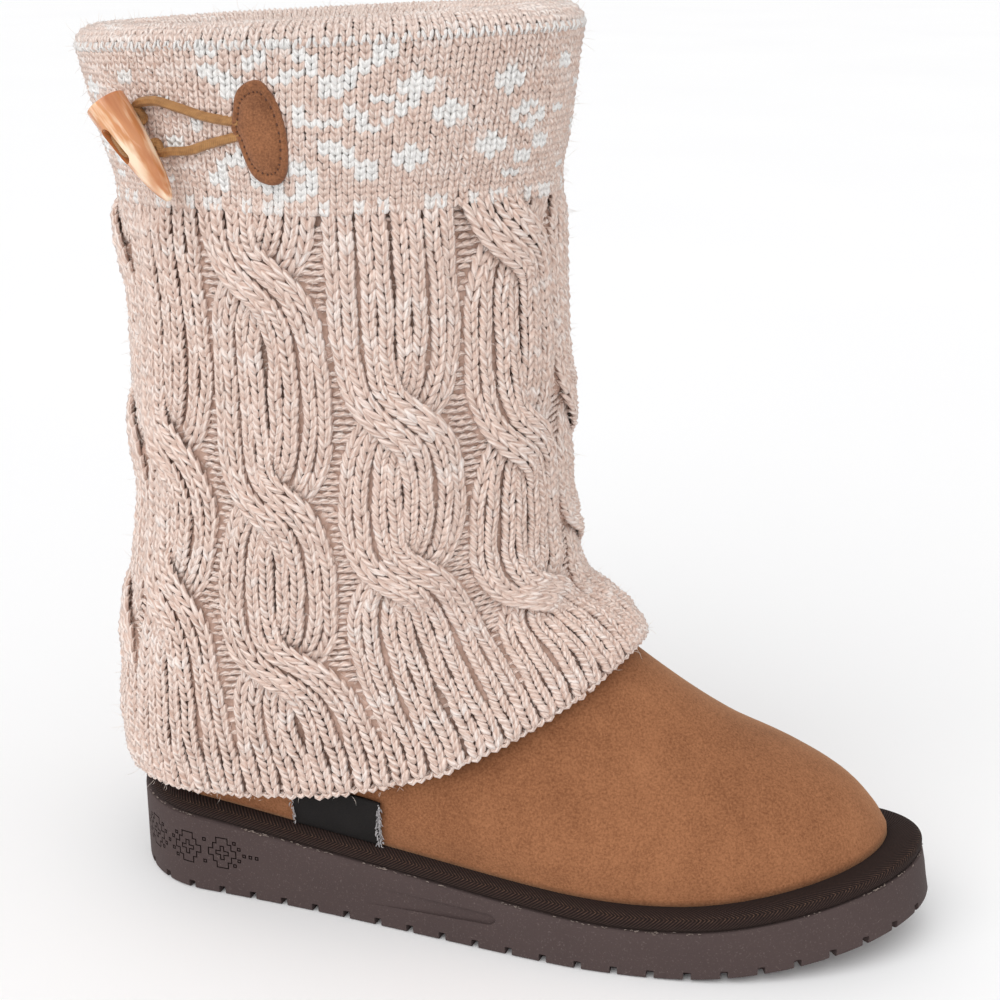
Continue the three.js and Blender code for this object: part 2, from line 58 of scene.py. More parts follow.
class Shade:
    """One output of a material's nodes. Sums and products of these add Math nodes."""

    def __init__(self, tree, socket=None):
        self.tree = tree
        self.socket = socket

    def node(self, kind, settings=None, sockets=None, output=0):
        made = self.tree.nodes.new("ShaderNode" + kind)
        for name, value in (settings or {}).items():
            setattr(made, name, value)
        for name, value in (sockets or {}).items():
            if isinstance(value, Shade):
                self.tree.links.new(value.socket, made.inputs[name])
            else:
                made.inputs[name].default_value = value
        return Shade(self.tree, made.outputs[output])

    def math(self, operation, *values):
        return self.node("Math", {"operation": operation}, dict(enumerate(values)))

    def __add__(self, other):
        return self.math("ADD", self, other)

    def __sub__(self, other):
        return self.math("SUBTRACT", self, other)

    def __rsub__(self, other):
        return self.math("SUBTRACT", other, self)

    def __mul__(self, other):
        return self.math("MULTIPLY", self, other)

    def __truediv__(self, other):
        return self.math("DIVIDE", self, other)

    __radd__ = __add__
    __rmul__ = __mul__

    def between(self, low, high):
        """0 below low, 1 above high, and a straight rise between them"""
        return self.node("MapRange", {}, {"Value": self, "From Min": low, "From Max": high})

    def mix(self, first, second):
        """The first colour where this is 0, the second where it is 1"""
        return self.node("Mix", {"data_type": "RGBA"}, {0: self, 6: first, 7: second}, 2)

    def noise(self, scale, detail=2.0, rough=0.5):
        sockets = {"Vector": self, "Scale": scale, "Detail": detail, "Roughness": rough}
        return self.node("TexNoise", {}, sockets)

    def stretched(self, scale):
        return self.node("Mapping", {}, {"Vector": self, "Scale": scale})

    def wave(self):
        """The sine of this, brought to 0 to 1"""
        return self.math("SINE", self) * 0.5 + 0.5

    def split(self):
        """The first two parts of a vector"""
        parts = self.node("SeparateXYZ", {}, {0: self})
        return parts, Shade(self.tree, parts.socket.node.outputs[1])


def srgb(*shades):
    """A measured colour, 0 to 255, as the linear colour that a shader takes"""
    linear = [c / 255 / 12.92 if c <= 10 else ((c / 255 + 0.055) / 1.055) ** 2.4 for c in shades]
    return (*linear, 1)


def new_finish(name, **constants):
    """A material, its surface shader, and a Shade to write its nodes with"""
    finish = bpy.data.materials.new(name)
    finish.use_nodes = True
    surface = finish.node_tree.nodes["Principled BSDF"]
    for socket, value in constants.items():
        surface.inputs[socket.replace("_", " ")].default_value = value
    return finish, surface, Shade(finish.node_tree)


def feed(surface, **values):
    for socket, value in values.items():
        value.tree.links.new(value.socket, surface.inputs[socket.replace("_", " ")])


def bump(height, strength, distance):
    return height.node("Bump", {}, {"Height": height, "Strength": strength, "Distance": distance})


def mottled(name, scale, dark, light, **constants):
    """A finish that only wanders between two colours"""
    finish, surface, paint = new_finish(name, **constants)
    feed(surface, Base_Color=paint.node("TexCoord", output=3).noise(scale).mix(srgb(*dark), srgb(*light)))
    return finish


camera = bpy.data.objects.new("camera", bpy.data.cameras.new("camera"))
camera.location = CAMERA_PLACE
camera.rotation_euler = CAMERA_TURN
camera.data.lens = CAMERA_LENS
camera.data.clip_start = 0.01
bpy.context.scene.collection.objects.link(camera)
bpy.context.scene.camera = camera
bpy.context.scene.view_settings.view_transform = "Standard"

for light in LIGHTS:
    lamp = bpy.data.objects.new(light["name"], bpy.data.lights.new(light["name"], "SUN"))
    lamp.data.energy = light["watts"]
    lamp.data.angle = math.radians(light["spread"])
    lamp.location = light["place"]
    lamp.rotation_euler = (-lamp.location).to_track_quat("-Z", "Y").to_euler()
    bpy.context.scene.collection.objects.link(lamp)

sky = bpy.data.worlds.new("sky")
sky.use_nodes = True
sky.node_tree.nodes["Background"].inputs["Color"].default_value = (1, 1, 1, 1)
sky.node_tree.nodes["Background"].inputs["Strength"].default_value = SKY_STRENGTH
bpy.context.scene.world = sky

floor_finish = mottled("floor_paint", 2.0, (250, 250, 250), (246, 246, 247), Roughness=0.7)
bm = bmesh.new()
bmesh.ops.create_grid(bm, x_segments=4, y_segments=4, size=FLOOR_HALF)
floor_mesh = bpy.data.meshes.new("floor")
bm.to_mesh(floor_mesh)
bm.free()
floor_mesh.materials.append(floor_finish)
floor = bpy.data.objects.new("floor", floor_mesh)
bpy.context.scene.collection.objects.link(floor)


# Outsole: one moulded unit of foam rubber with toe spring, small slots along its lower edge and grooves
# below. Its walls carry an engraved border of stepped diamonds at the heel and one long scoop. It is
# glued under the platform.
SOLE_LENGTH = 270
HEEL_X = -SOLE_LENGTH / 2
TOE_X = SOLE_LENGTH / 2
HEEL_HALF = 41.5
HEEL_ROUND = 36
BALL_HALF = {-1: 45.9, 1: 43.5}
BALL_SWELL = (-75, 112)
TOE_ROUND = {-1: 67.5, 1: 95}
TOE_INSWING = 12.9
INSWING_SPAN = (27, 108)
ARCH_DEPTH, ARCH_X, ARCH_REACH = 4.5, -23, 34
SPRING_RISE, SPRING_X = 13.3, 50
SOLE_TOP_X = (-135, -100, -60, -13, 20, 50, 75, 100, 120, 135)
SOLE_TOP_Z = (28.5, 27.5, 23.5, 20, 17.5, 16, 17.5, 21.5, 26, 30)
WALL_LEAN = 2.5
SOLE_STATIONS = 160
# Rings of the sole from the middle of its bottom to the middle of its top: inset, share up the wall, lift
SOLE_RINGS = (
    (35, 0, 0), (20, 0, 0), (7, 0, 0), (1.3, 0, 0), (0.5, 0, 0.2), (0.1, 0, 0.6), (0, 0, 1.3),
    (0, 0.35, 0), (0, 0.65, 0), (0, 1, -1.4), (0.2, 1, -0.6), (0.7, 1, -0.15), (1.6, 1, 0),
    (7, 1, 0), (20, 1, 0), (35, 1, 0),
)
SLOT_PITCH, SLOT_WIDE, SLOT_DEEP, SLOT_HIGH = 11.4, 2.4, 4, 3.0
GROOVE_PITCH, GROOVE_WIDE, GROOVE_DEEP, GROOVE_MARGIN = 14, 5, 3, 15
GROOVE_RUNS = ((-112, -56), (8, 78))
LINE_WIDE, LINE_DEEP, LINE_ENTRY = 0.42, 0.45, 0.6
SLOT_ROUNDING, GROOVE_ROUNDING = 0.3, 0.8
# One quarter of each engraved outline, in mm from its middle
DIAMOND = ((2.3, 5.8), (2.3, 3.6), (3.6, 3.6), (3.6, 1.5), (5.3, 1.5))
CROSS = ((0.85, 2.7), (0.85, 0.9), (2.5, 0.9))
SQUARE = ((0.7, 0.7),)
BORDER_X, BORDER_Z = -103.6, 15.7
BORDER_REACH, BORDER_HALF = 32, 6.8
DIAMOND_PLACES = (-16.8, 0, 13.1)
SQUARE_PLACES = (
    (-25, 0), (-23.1, 2.2), (-23.1, -2.2), (-21.4, 4.2), (-21.4, -4.2), (-12.2, 4.2), (-12.2, -4.2),
    (-10.5, 2.2), (-10.5, -2.2), (-8.4, 0), (-6.3, 2.2), (-6.3, -2.2), (-4.6, 4.2), (-4.6, -4.2),
    (6.55, 4.1), (6.55, -4.1), (17.7, 4.3), (17.7, -4.1), (19.4, 2.4), (19.4, -2), (21.3, 0.2),
    (23.6, 0.2), (25.9, 0.2),
)
SCOOP_FROM, SCOOP_TO, SCOOP_DEEP = -47, 7.5, 1.0
SCOOP_TOP, SCOOP_LOW = (14.6, 13.6), (7.4, 9.8)


def smooth(t):
    t = np.clip(t, 0, 1)
    return t * t * (3 - 2 * t)


def round_off(t):
    return np.sqrt(1 - (1 - np.clip(t, 0, 1)) ** 2)


def table_curve(keys, values, at):
    """A smooth curve through a table's rows, with each tangent weighted by its two spans"""
    keys = np.asarray(keys, float)
    values = np.asarray(values, float).reshape(len(keys), -1)
    spans = np.diff(keys)[:, None]
    slopes = np.diff(values, axis=0) / spans
    inner = (slopes[1:] * spans[:-1] + slopes[:-1] * spans[1:]) / (spans[1:] + spans[:-1])
    tangents = np.concatenate([slopes[:1], inner, slopes[-1:]])
    at = np.clip(np.asarray(at, float), keys[0], keys[-1])
    i = np.clip(np.searchsorted(keys, at, side="right") - 1, 0, len(keys) - 2)
    t = ((at - keys[i]) / spans[i, 0])[..., None]
    span = spans[i]
    curve = (2 * t**3 - 3 * t**2 + 1) * values[i] + (t**3 - 2 * t**2 + t) * span * tangents[i]
    return curve + (3 * t**2 - 2 * t**3) * values[i + 1] + (t**3 - t**2) * span * tangents[i + 1]


def sole_top(x):
    return table_curve(SOLE_TOP_X, SOLE_TOP_Z, x)[..., 0]


def toward_toe(x):
    return np.maximum(0, np.asarray(x) - SPRING_X) / (TOE_X - SPRING_X)


def ground_z(x):
    return SPRING_RISE * toward_toe(x) ** 2


def wall_lean(x):
    return -WALL_LEAN * smooth(toward_toe(x))


def arch_dip(x):
    return ARCH_DEPTH * np.exp(-(((x - ARCH_X) / ARCH_REACH) ** 2))


def sole_edge(x, side, inset=0.0):
    """Half outline of the sole at x, drawn in by inset: side -1 is the outer one, 1 the inner"""
    x = np.asarray(x, float)
    half = HEEL_HALF + (BALL_HALF[side] - HEEL_HALF) * smooth((x - BALL_SWELL[0]) / BALL_SWELL[1])
    half = half - inset - (arch_dip(x) if side > 0 else 0)
    centre = TOE_INSWING * smooth((x - INSWING_SPAN[0]) / INSWING_SPAN[1])
    heel = round_off((x - HEEL_X - inset) / (HEEL_ROUND - inset * 0.5))
    toe = round_off((TOE_X - inset - x) / (TOE_ROUND[side] - inset * 0.8))
    return centre + side * half * heel * toe


def face_outward(bm):
    bmesh.ops.recalc_face_normals(bm, faces=bm.faces[:])


def run_along(points):
    """How far along a line each of its points lies"""
    return np.concatenate([[0], np.cumsum(np.linalg.norm(np.diff(points, axis=0), axis=1))])


def grid_mesh(columns, rows):
    """A flat grid whose vertices each know their column and row, from 0 to 1"""
    bm = bmesh.new()
    bmesh.ops.create_grid(bm, x_segments=columns, y_segments=rows, size=0.5)
    return bm, [(v, v.co.x + 0.5, v.co.y + 0.5) for v in bm.verts]


def to_solid(bm, moved):
    """Pulls a copy of an open sheet out of it by the function moved, with walls between the two"""
    pulled = bmesh.ops.extrude_face_region(bm, geom=bm.faces[:], use_keep_orig=True)
    for v in pulled["geom"]:
        if isinstance(v, bmesh.types.BMVert):
            v.co = moved(v.co)
    face_outward(bm)


def add_piece(name, bm, finish, replaces=None, sharp=None):
    """A finished mesh as a piece that rides on the boot"""
    mesh = bpy.data.meshes.new(name)
    bm.to_mesh(mesh)
    bm.free()
    mesh.materials.append(finish)
    mesh.shade_smooth()
    if sharp is not None:
        mesh.set_sharp_from_angle(angle=math.radians(sharp))
    return ride_piece(name, mesh, replaces)


def ride_piece(name, mesh, replaces=None):
    piece = bpy.data.objects.new(name, mesh)
    bpy.context.scene.collection.objects.link(piece)
    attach(piece, "root")
    if replaces:
        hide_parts(replaces)
    return piece


def cut(bm, cutters):
    """One mesh with the other cut out of it"""
    pair = []
    for name, source in (("body", bm), ("cutters", cutters)):
        mesh = bpy.data.meshes.new(name)
        source.to_mesh(mesh)
        source.free()
        pair.append(bpy.data.objects.new(name, mesh))
        bpy.context.scene.collection.objects.link(pair[-1])
    body, tool = pair
    modifier = body.modifiers.new("cut", "BOOLEAN")
    modifier.operation = "DIFFERENCE"
    modifier.solver = "EXACT"
    modifier.use_self = True
    modifier.object = tool
    bpy.context.view_layer.update()
    evaluated = body.evaluated_get(bpy.context.evaluated_depsgraph_get())
    result = bmesh.new()
    result.from_mesh(evaluated.to_mesh())
    for spare in pair:
        bpy.data.objects.remove(spare)
    return result


def wall_frame(x, side, z):
    """Place and turn of a tool on the sole's wall: X along the wall, Y out of it, Z up"""
    ahead = Vector((1.0, float(sole_edge(x + 0.5, side) - sole_edge(x - 0.5, side)), 0)).normalized()
    out = Vector((ahead.y, -ahead.x, 0)) * (1 if side < 0 else -1)
    turn = Matrix((ahead, out, Vector((0, 0, 1)))).transposed().to_4x4()
    return Matrix.Translation(Vector((x, float(sole_edge(x, side)), z)) * MM) @ turn


def box_tool(bm, place, wide, deep, high, rounding=0.0):
    size = Matrix.Diagonal((wide * MM, deep * MM, high * MM, 1))
    made = bmesh.ops.create_cube(bm, size=1, matrix=place @ size)
    if rounding:
        edges = list({e for v in made["verts"] for e in v.link_edges})
        bmesh.ops.bevel(bm, geom=edges, offset=rounding * MM, segments=2, profile=0.5, affect="EDGES",
                        material=-1)


def sole_ring(inset, share, lift):
    """The sole's outline drawn in by inset, at a share of its wall's height, from the heel round and back"""
    steps = (1 - np.cos(np.linspace(0, np.pi, SOLE_STATIONS))) / 2
    xs = HEEL_X + inset + (SOLE_LENGTH - 2 * inset) * steps
    halves = []
    for side, line in ((-1, xs), (1, xs[::-1])):
        moved = line + wall_lean(line) * share
        height = ground_z(line) * (1 - share) + sole_top(moved) * share + lift
        halves.append(np.stack([moved, sole_edge(line, side, inset), height], 1)[:-1])
    return np.concatenate(halves)


def loft(rows, closed=True):
    """A skin laid through rows of points in mm. Its UV runs in mm along the middle row and across."""
    rows = np.asarray(rows, float)
    if closed:
        rows = np.concatenate([rows, rows[:, :1]], axis=1)
    lines, points = rows.shape[:2]
    bm, places = grid_mesh(points - 1, lines - 1)
    round_run = run_along(rows[lines // 2])
    up_run = run_along(rows[:, points // 4])
    uv = bm.loops.layers.uv.new("UVMap")
    spot = {}
    for v, across, up in places:
        spot[v] = (round(across * (points - 1)), round(up * (lines - 1)))
    for face in bm.faces:
        for corner in face.loops:
            column, line = spot[corner.vert]
            corner[uv].uv = (round_run[column], up_run[line])
    for v, (column, line) in spot.items():
        v.co = Vector(rows[line, column]) * MM
    if closed:
        bmesh.ops.remove_doubles(bm, verts=bm.verts[:], dist=0.002 * MM)
    return bm


def close_ends(bm):
    """Fills the open rims of a skin and turns its faces outward"""
    filled = bmesh.ops.holes_fill(bm, edges=[e for e in bm.edges if e.is_boundary], sides=0)
    bmesh.ops.triangulate(bm, faces=filled["faces"])
    face_outward(bm)


def wall_spot(along, side, z, out):
    """A point of the sole's wall, mm along it from the back of the heel, standing out of it"""
    x = float(np.interp(along, wall_run[side], wall_x))
    return wall_frame(x, side, z) @ Vector((0, out * MM, 0))


def join(bm, other):
    mesh = bpy.data.meshes.new("joined")
    other.to_mesh(mesh)
    other.free()
    bm.from_mesh(mesh)
    bpy.data.meshes.remove(mesh)


def carve_outline(tools, quarter, along, side, z):
    """Adds a tool that cuts one closed outline into the sole's wall as a fine groove"""
    right = [*quarter, *((x, -y) for x, y in reversed(quarter))]
    outline = right + [(-x, y) for x, y in reversed(right)]
    flat = bmesh.new()
    face = flat.faces.new([flat.verts.new((x, y, 0)) for x, y in outline])
    flat.normal_update()
    bmesh.ops.inset_region(flat, faces=[face], thickness=LINE_WIDE, use_even_offset=True, use_boundary=True)
    bmesh.ops.delete(flat, geom=[face], context="FACES_ONLY")
    to_solid(flat, lambda co: co + Vector((0, 0, 1)))
    for v in flat.verts:
        v.co = wall_spot(along + v.co.x, side, z + v.co.y, LINE_ENTRY - v.co.z * (LINE_ENTRY + LINE_DEEP))
    face_outward(flat)
    join(tools, flat)


bm = loft([sole_ring(*ring) for ring in SOLE_RINGS])
close_ends(bm)

wall_x = HEEL_X + SOLE_LENGTH * (1 - np.cos(np.linspace(0, np.pi, 800))) / 2
wall_run = {}
tools = bmesh.new()
for side in (-1, 1):
    steps = np.hypot(np.diff(wall_x), np.diff(sole_edge(wall_x, side)))
    run = wall_run[side] = np.concatenate([[0], np.cumsum(steps)])
    count = int(run[-1] / SLOT_PITCH)
    for x in np.interp(np.arange(1, count) * run[-1] / count, run, wall_x):
        place = wall_frame(float(x), side, float(ground_z(x)))
        box_tool(tools, place, SLOT_WIDE, SLOT_DEEP * 2, SLOT_HIGH * 2, SLOT_ROUNDING)
    border = float(np.interp(BORDER_X, wall_x, run))
    for place in DIAMOND_PLACES:
        carve_outline(tools, DIAMOND, border + place, side, BORDER_Z)
        carve_outline(tools, CROSS, border + place, side, BORDER_Z)
    for place, height in SQUARE_PLACES:
        carve_outline(tools, SQUARE, border + place, side, BORDER_Z + height)
    scoop, places = grid_mesh(40, 8)
    start, end = np.interp((SCOOP_FROM, SCOOP_TO), wall_x, run)
    for v, along, across in places:
        low, high = (np.interp(along, (0, 1), heights) for heights in (SCOOP_LOW, SCOOP_TOP))
        tall = (high - low) * float(round_off((1 - along) / 0.05 + 0.02))
        v.co = Vector((start + (end - start) * along, (low + high) / 2 + tall * (across - 0.5), along))
    to_solid(scoop, lambda co: co + Vector((0, 0, 10)))
    for v in scoop.verts:
        inside = v.co.z < 5
        out = 0.05 - SCOOP_DEEP * float(smooth(v.co.z / 0.9)) if inside else 3
        v.co = wall_spot(v.co.x, side, v.co.y, out)
    face_outward(scoop)
    join(tools, scoop)
for start, end in GROOVE_RUNS:
    for x in np.arange(start, end + 1, GROOVE_PITCH):
        outer, inner = (float(sole_edge(x, side, GROOVE_MARGIN)) for side in (-1, 1))
        place = Matrix.Translation(Vector((x, (outer + inner) / 2, float(ground_z(x)))) * MM)
        box_tool(tools, place, GROOVE_WIDE, inner - outer, GROOVE_DEEP * 2, GROOVE_ROUNDING)
face_outward(tools)
bm = cut(bm, tools)

sole_finish, surface, paint = new_finish("foam_rubber", Roughness=0.78, Specular_IOR_Level=0.35)
coords = paint.node("TexCoord", output=3)
speckle = coords.noise(1500, 3, 0.7)
cloud = coords.noise(28, 3)
grey = cloud.mix(srgb(64, 51, 50), srgb(76, 62, 60))
dust = speckle.between(0.58, 0.75) * 0.4
feed(surface, Base_Color=dust.mix(grey, srgb(140, 126, 120)), Roughness=0.7 + speckle * 0.2,
     Normal=bump(speckle + cloud * 0.6, 0.35, 0.15 * MM))
# The engraved border's grooves get a dark finish of their own: painted shade in the recesses.
groove_shade_finish = mottled("groove_painted_shade", 900, (30, 22, 21), (44, 34, 32), Roughness=0.9, Specular_IOR_Level=0.1)
for face in bm.faces:
    x, y, z = face.calc_center_median() / MM
    wall = abs(float(sole_edge(x, 1 if y > 0 else -1)))
    near_border = HEEL_X + 2 < x < BORDER_X + BORDER_REACH and abs(z - BORDER_Z) < BORDER_HALF
    if near_border and abs(y) < wall - LINE_DEEP / 4:
        face.material_index = 1
sole_unit = add_piece("sole_unit", bm, sole_finish, "outsole", sharp=32)
sole_unit.data.materials.append(groove_shade_finish)


# Platform: a thin slab wrapped in herringbone twill tape, which rounds over from the sole's edge to
# the upper. The tape is glued down, and its two edges are caught between upper, slab and sole.
GAP = 0.3
PLATFORM_HIGH = 6.2
TAPE_INSETS = (1.2, 0.5, 0.8, 2.4, 5.0, 13)
TAPE_HEIGHTS = (0, 1.3, 3.3, 5.0, 5.9, 6.2)
TAPE_ROWS = 26
RIB_PITCH = 1.25
HERRING_TURN = 4.4
LINT_TUFTS, LINT_EACH, LINT_SPREAD = 70, 5, 2.6
LINT_RADIUS = 0.13


def platform_top(x):
    return sole_top(x) + GAP + PLATFORM_HIGH


def yarn_mesh(name, finish, centres, radii, outward, sides, white=None, fleck=None):
    """Closed spindles in one mesh. centres: (yarns, points, xyz) in mm, the first and last being tips,
    radii: (yarns, points) in mm, outward: one direction for all, or one for each yarn or each point.
    UV runs round and along each yarn."""
    count, points = centres.shape[:2]
    rings = points - 2
    ahead = np.gradient(centres, axis=1)
    ahead /= np.linalg.norm(ahead, axis=2, keepdims=True) + 1e-9
    beside = np.cross(ahead, outward)
    beside /= np.linalg.norm(beside, axis=2, keepdims=True) + 1e-9
    top = np.cross(beside, ahead)
    turn = 2 * np.pi * np.arange(sides) / sides
    spokes = np.cos(turn)[:, None] * top[:, 1:-1, None] + np.sin(turn)[:, None] * beside[:, 1:-1, None]
    skin = centres[:, 1:-1, None] + spokes * radii[:, 1:-1, None, None]
    verts = np.concatenate([skin.reshape(count, rings * sides, 3), centres[:, :1], centres[:, -1:]], axis=1)
    quads, quad_uv, fans, fan_uv = [], [], [], []
    for j in range(sides):
        k = (j + 1) % sides
        left, middle, right = j / sides, (j + 0.5) / sides, (j + 1) / sides
        for r in range(rings - 1):
            quads.append((r * sides + j, r * sides + k, (r + 1) * sides + k, (r + 1) * sides + j))
            low, high = (r + 1) / (points - 1), (r + 2) / (points - 1)
            quad_uv.append(((left, low), (right, low), (right, high), (left, high)))
        last = (rings - 1) * sides
        fans.append((rings * sides, k, j))
        fans.append((rings * sides + 1, last + j, last + k))
        low, high = 1 / (points - 1), rings / (points - 1)
        fan_uv.append(((middle, 0), (right, low), (left, low)))
        fan_uv.append(((middle, 1), (left, high), (right, high)))
    offset = (np.arange(count) * (rings * sides + 2))[:, None]
    corners = np.concatenate([(offset + np.array(faces).reshape(1, -1)).ravel() for faces in (quads, fans)])
    sizes = np.concatenate([np.full(count * len(quads), 4), np.full(count * len(fans), 3)])
    starts = np.concatenate([[0], np.cumsum(sizes)[:-1]])
    mesh = bpy.data.meshes.new(name)
    mesh.vertices.add(verts.shape[0] * verts.shape[1])
    mesh.vertices.foreach_set("co", (verts * MM).astype(np.float32).ravel())
    mesh.loops.add(len(corners))
    mesh.loops.foreach_set("vertex_index", corners.astype(np.int32))
    mesh.polygons.add(len(sizes))
    mesh.polygons.foreach_set("loop_start", starts.astype(np.int32))
    mesh.update(calc_edges=True)
    layer = mesh.uv_layers.new(name="UVMap")
    uvs = np.concatenate([np.tile(np.array(flat, np.float32).ravel(), count) for flat in (quad_uv, fan_uv)])
    layer.data.foreach_set("uv", uvs)
    for label, values in (("white", white), ("fleck", fleck)):
        attribute = mesh.attributes.new(label, "FLOAT", "POINT")
        values = np.zeros(count) if values is None else values
        attribute.data.foreach_set("value", np.repeat(values, verts.shape[1]).astype(np.float32))
    mesh.materials.append(finish)
    mesh.shade_smooth()
    mesh.validate()
    return mesh


steps = np.linspace(0, len(TAPE_INSETS) - 1, TAPE_ROWS)
profile = table_curve(range(len(TAPE_INSETS)), np.stack([TAPE_INSETS, TAPE_HEIGHTS], 1), steps)
bm = loft([sole_ring(inset, 1, GAP + height) for inset, height in profile])
close_ends(bm)

tape_finish, surface, paint = new_finish("herringbone_tape", Roughness=0.9, Specular_IOR_Level=0.2)
around, up = paint.node("TexCoord", output=2).split()
off_middle = up - HERRING_TURN
fold = off_middle.math("ABSOLUTE", off_middle)
ribs = ((around + fold * 1.25) * (2 * math.pi / RIB_PITCH)).wave()
lint = paint.node("TexCoord", output=3).noise(1400, 3, 0.7)
glint = ribs.between(0.75, 1.0) * (1 - fold.between(0.3, 1.8)) * lint.between(0.45, 0.65)
cloth = (ribs * 0.7 + lint * 0.5).between(0.1, 1.1).mix(srgb(14, 9, 8), srgb(62, 45, 40))
feed(surface, Base_Color=(glint * 0.6).mix(cloth, srgb(126, 96, 76)),
     Normal=bump(ribs + lint * 0.5, 0.9, 0.3 * MM))
add_piece("tape_edge", bm, tape_finish, "platform", sharp=50)

lint_finish = mottled("tape_lint", 700, (84, 70, 64), (176, 160, 150), Roughness=0.9)
seam = sole_ring(0.5, 1, 0.1)
seam_run = run_along(seam)
clumps = np.repeat(rng.uniform(0, seam_run[-1], LINT_TUFTS), LINT_EACH)
tufts_at = clumps + rng.normal(0, LINT_SPREAD, len(clumps))
spans = tufts_at[:, None] + rng.uniform(0.4, 1.5, (len(tufts_at), 1)) * np.linspace(-0.5, 0.5, 5)
lint_line = np.stack([np.interp(spans % seam_run[-1], seam_run, seam[:, axis]) for axis in range(3)], -1)
lint_line += rng.normal(0, 0.16, (len(tufts_at), 1, 3)) + rng.normal(0, 0.1, lint_line.shape)
radii = LINT_RADIUS * np.array([0, 1, 1, 0.9, 0]) * rng.uniform(0.6, 1.3, (len(tufts_at), 1))
mesh = yarn_mesh("tape_lint", lint_finish, lint_line, radii, (0, 0, 1), 3)
ride_piece("tape_lint", mesh)


# Upper: one piece of brushed suede lasted over the foot, with the leg inside the knitted sleeve sewn
# on. It is about 3 mm thick with its backing, and its lower edge is drawn in under the last.
UPPER_WALL = 3
FEATHER_SINK = 0.9
UPPER_ROUND = 128
FOOT_LINES, LEG_LINES = 64, 24
FOOT_END, LEG_START = 6, 6.2
# The shape of the upper, one row for each height: back x and z, front x and z, half widths at the heel
# and of the outer and inner side, rounding at the back and the outer and inner front, in-swing, how far
# the row follows the platform, and how late it climbs to the front
UPPER_FORM = (
    (-127, 34.7, 121, 34.8, 37, 41, 38.6, 30, 60, 86, 12, 1, 1),
    (-130, 42, 116, 42, 39.6, 42.2, 40, 34, 62, 88, 12, 0.95, 1),
    (-132, 50, 107.5, 50, 40.8, 41.6, 40, 38, 64, 90, 11.5, 0.9, 1),
    (-132.5, 57, 93.5, 57.5, 41.3, 39.5, 38.3, 42, 66, 88, 10.5, 0.8, 1),
    (-132, 64, 73.5, 65.5, 41.5, 36, 35.5, 44, 68, 80, 8, 0.6, 1),
    (-131, 72, 57, 75.3, 42, 33.5, 33.5, 48, 72, 76, 5, 0.4, 1.1),
    (-129, 84, 36, 89.3, 43, 35, 35, 54, 78, 78, 3, 0.2, 1.2),
    (-126, 104, 15, 105, 44.5, 40, 40, 62, 76, 76, 1, 0, 1),
    (-123, 130, 6, 130, 46.5, 46, 46, 64, 64, 64, 0, 0, 1),
    (-121, 170, 4.5, 170, 48, 48, 48, 62, 62, 62, 0, 0, 1),
    (-121, 215, 3.5, 216, 49, 49, 49, 62, 62, 62, 0, 0, 1),
    (-125, 246, 4.5, 248, 51, 51, 51, 65, 65, 65, 0, 0, 1),
    (-129, 263, 7, 267, 52.5, 52.5, 52.5, 68, 68, 68, 0, 0, 1),
)
WIDENS_FROM, WIDENS_OVER = 0.22, 0.42
SWINGS_FROM, SWINGS_OVER = 0.6, 0.4
LEG_AXIS_X = -58
# Soft creases of the suede: centre, run of the crease, half length and half width in mm, depth in mm
UPPER_CREASES = (
    {"at": (48, -34, 56), "run": (0.8, 0.3, 0.5), "long": 22, "wide": 7, "deep": 0.5},
    {"at": (60, -20, 66), "run": (0.2, 0.9, 0.1), "long": 26, "wide": 6, "deep": 0.45},
    {"at": (30, -36, 46), "run": (1, 0.1, 0.1), "long": 26, "wide": 6, "deep": 0.5},
    {"at": (-20, -38, 44), "run": (1, 0, 0.1), "long": 30, "wide": 6, "deep": 0.6},
    {"at": (84, -32, 44), "run": (0.6, 0.6, -0.1), "long": 18, "wide": 6, "deep": -0.35},
    {"at": (52, 34, 54), "run": (0.8, -0.3, 0.5), "long": 24, "wide": 7, "deep": 0.55},
    {"at": (20, 36, 46), "run": (1, 0, 0.15), "long": 26, "wide": 6, "deep": 0.5},
    {"at": (-128, 0, 52), "run": (0, 1, 0), "long": 30, "wide": 5, "deep": 0.4},
)


def form_points(form, heights, angles):
    """Points of a form at row positions and angles: 0 is the back, a half turn the front"""
    heights, angles = np.broadcast_arrays(np.asarray(heights, float), np.asarray(angles, float))
    row = np.moveaxis(table_curve(range(len(form)), form, heights), -1, 0)
    back_x, back_z, front_x, front_z, heel_half, lateral, medial = row[:7]
    back_round, front_lateral, front_medial, inswing, follow, rise = row[7:]
    along = (1 - np.cos(angles)) / 2
    outer = angles <= np.pi
    side = np.where(outer, -1, 1)
    length = front_x - back_x
    x = back_x + length * along
    widened = smooth((along - WIDENS_FROM) / WIDENS_OVER)
    half = heel_half + (np.where(outer, lateral, medial) - heel_half) * widened
    front = np.where(outer, front_lateral, front_medial)
    ends = round_off(length * along / back_round) * round_off(length * (1 - along) / front)
    arch = np.where(outer, 0, arch_dip(x) * follow)
    y = inswing * smooth((along - SWINGS_FROM) / SWINGS_OVER) + side * half * ends - arch
    climb = np.maximum(along, 0) ** rise
    level = back_z + (front_z - back_z) * climb
    back_over = back_z - platform_top(back_x)
    followed = platform_top(x) + back_over + (front_z - platform_top(front_x) - back_over) * climb
    return np.stack([x, y, level + (followed - level) * follow], -1)


def grid_normals(grid):
    """Outward normals of a closed ring grid of points"""
    up = np.gradient(grid, axis=0)
    ahead = np.roll(grid, -1, 1) - np.roll(grid, 1, 1)
    normals = np.cross(ahead, up)
    normals /= np.linalg.norm(normals, axis=2, keepdims=True) + 1e-9
    outward = grid - np.array([LEG_AXIS_X, 0, 0])
    flip = np.sign((normals * outward)[..., :2].sum())
    return normals * flip


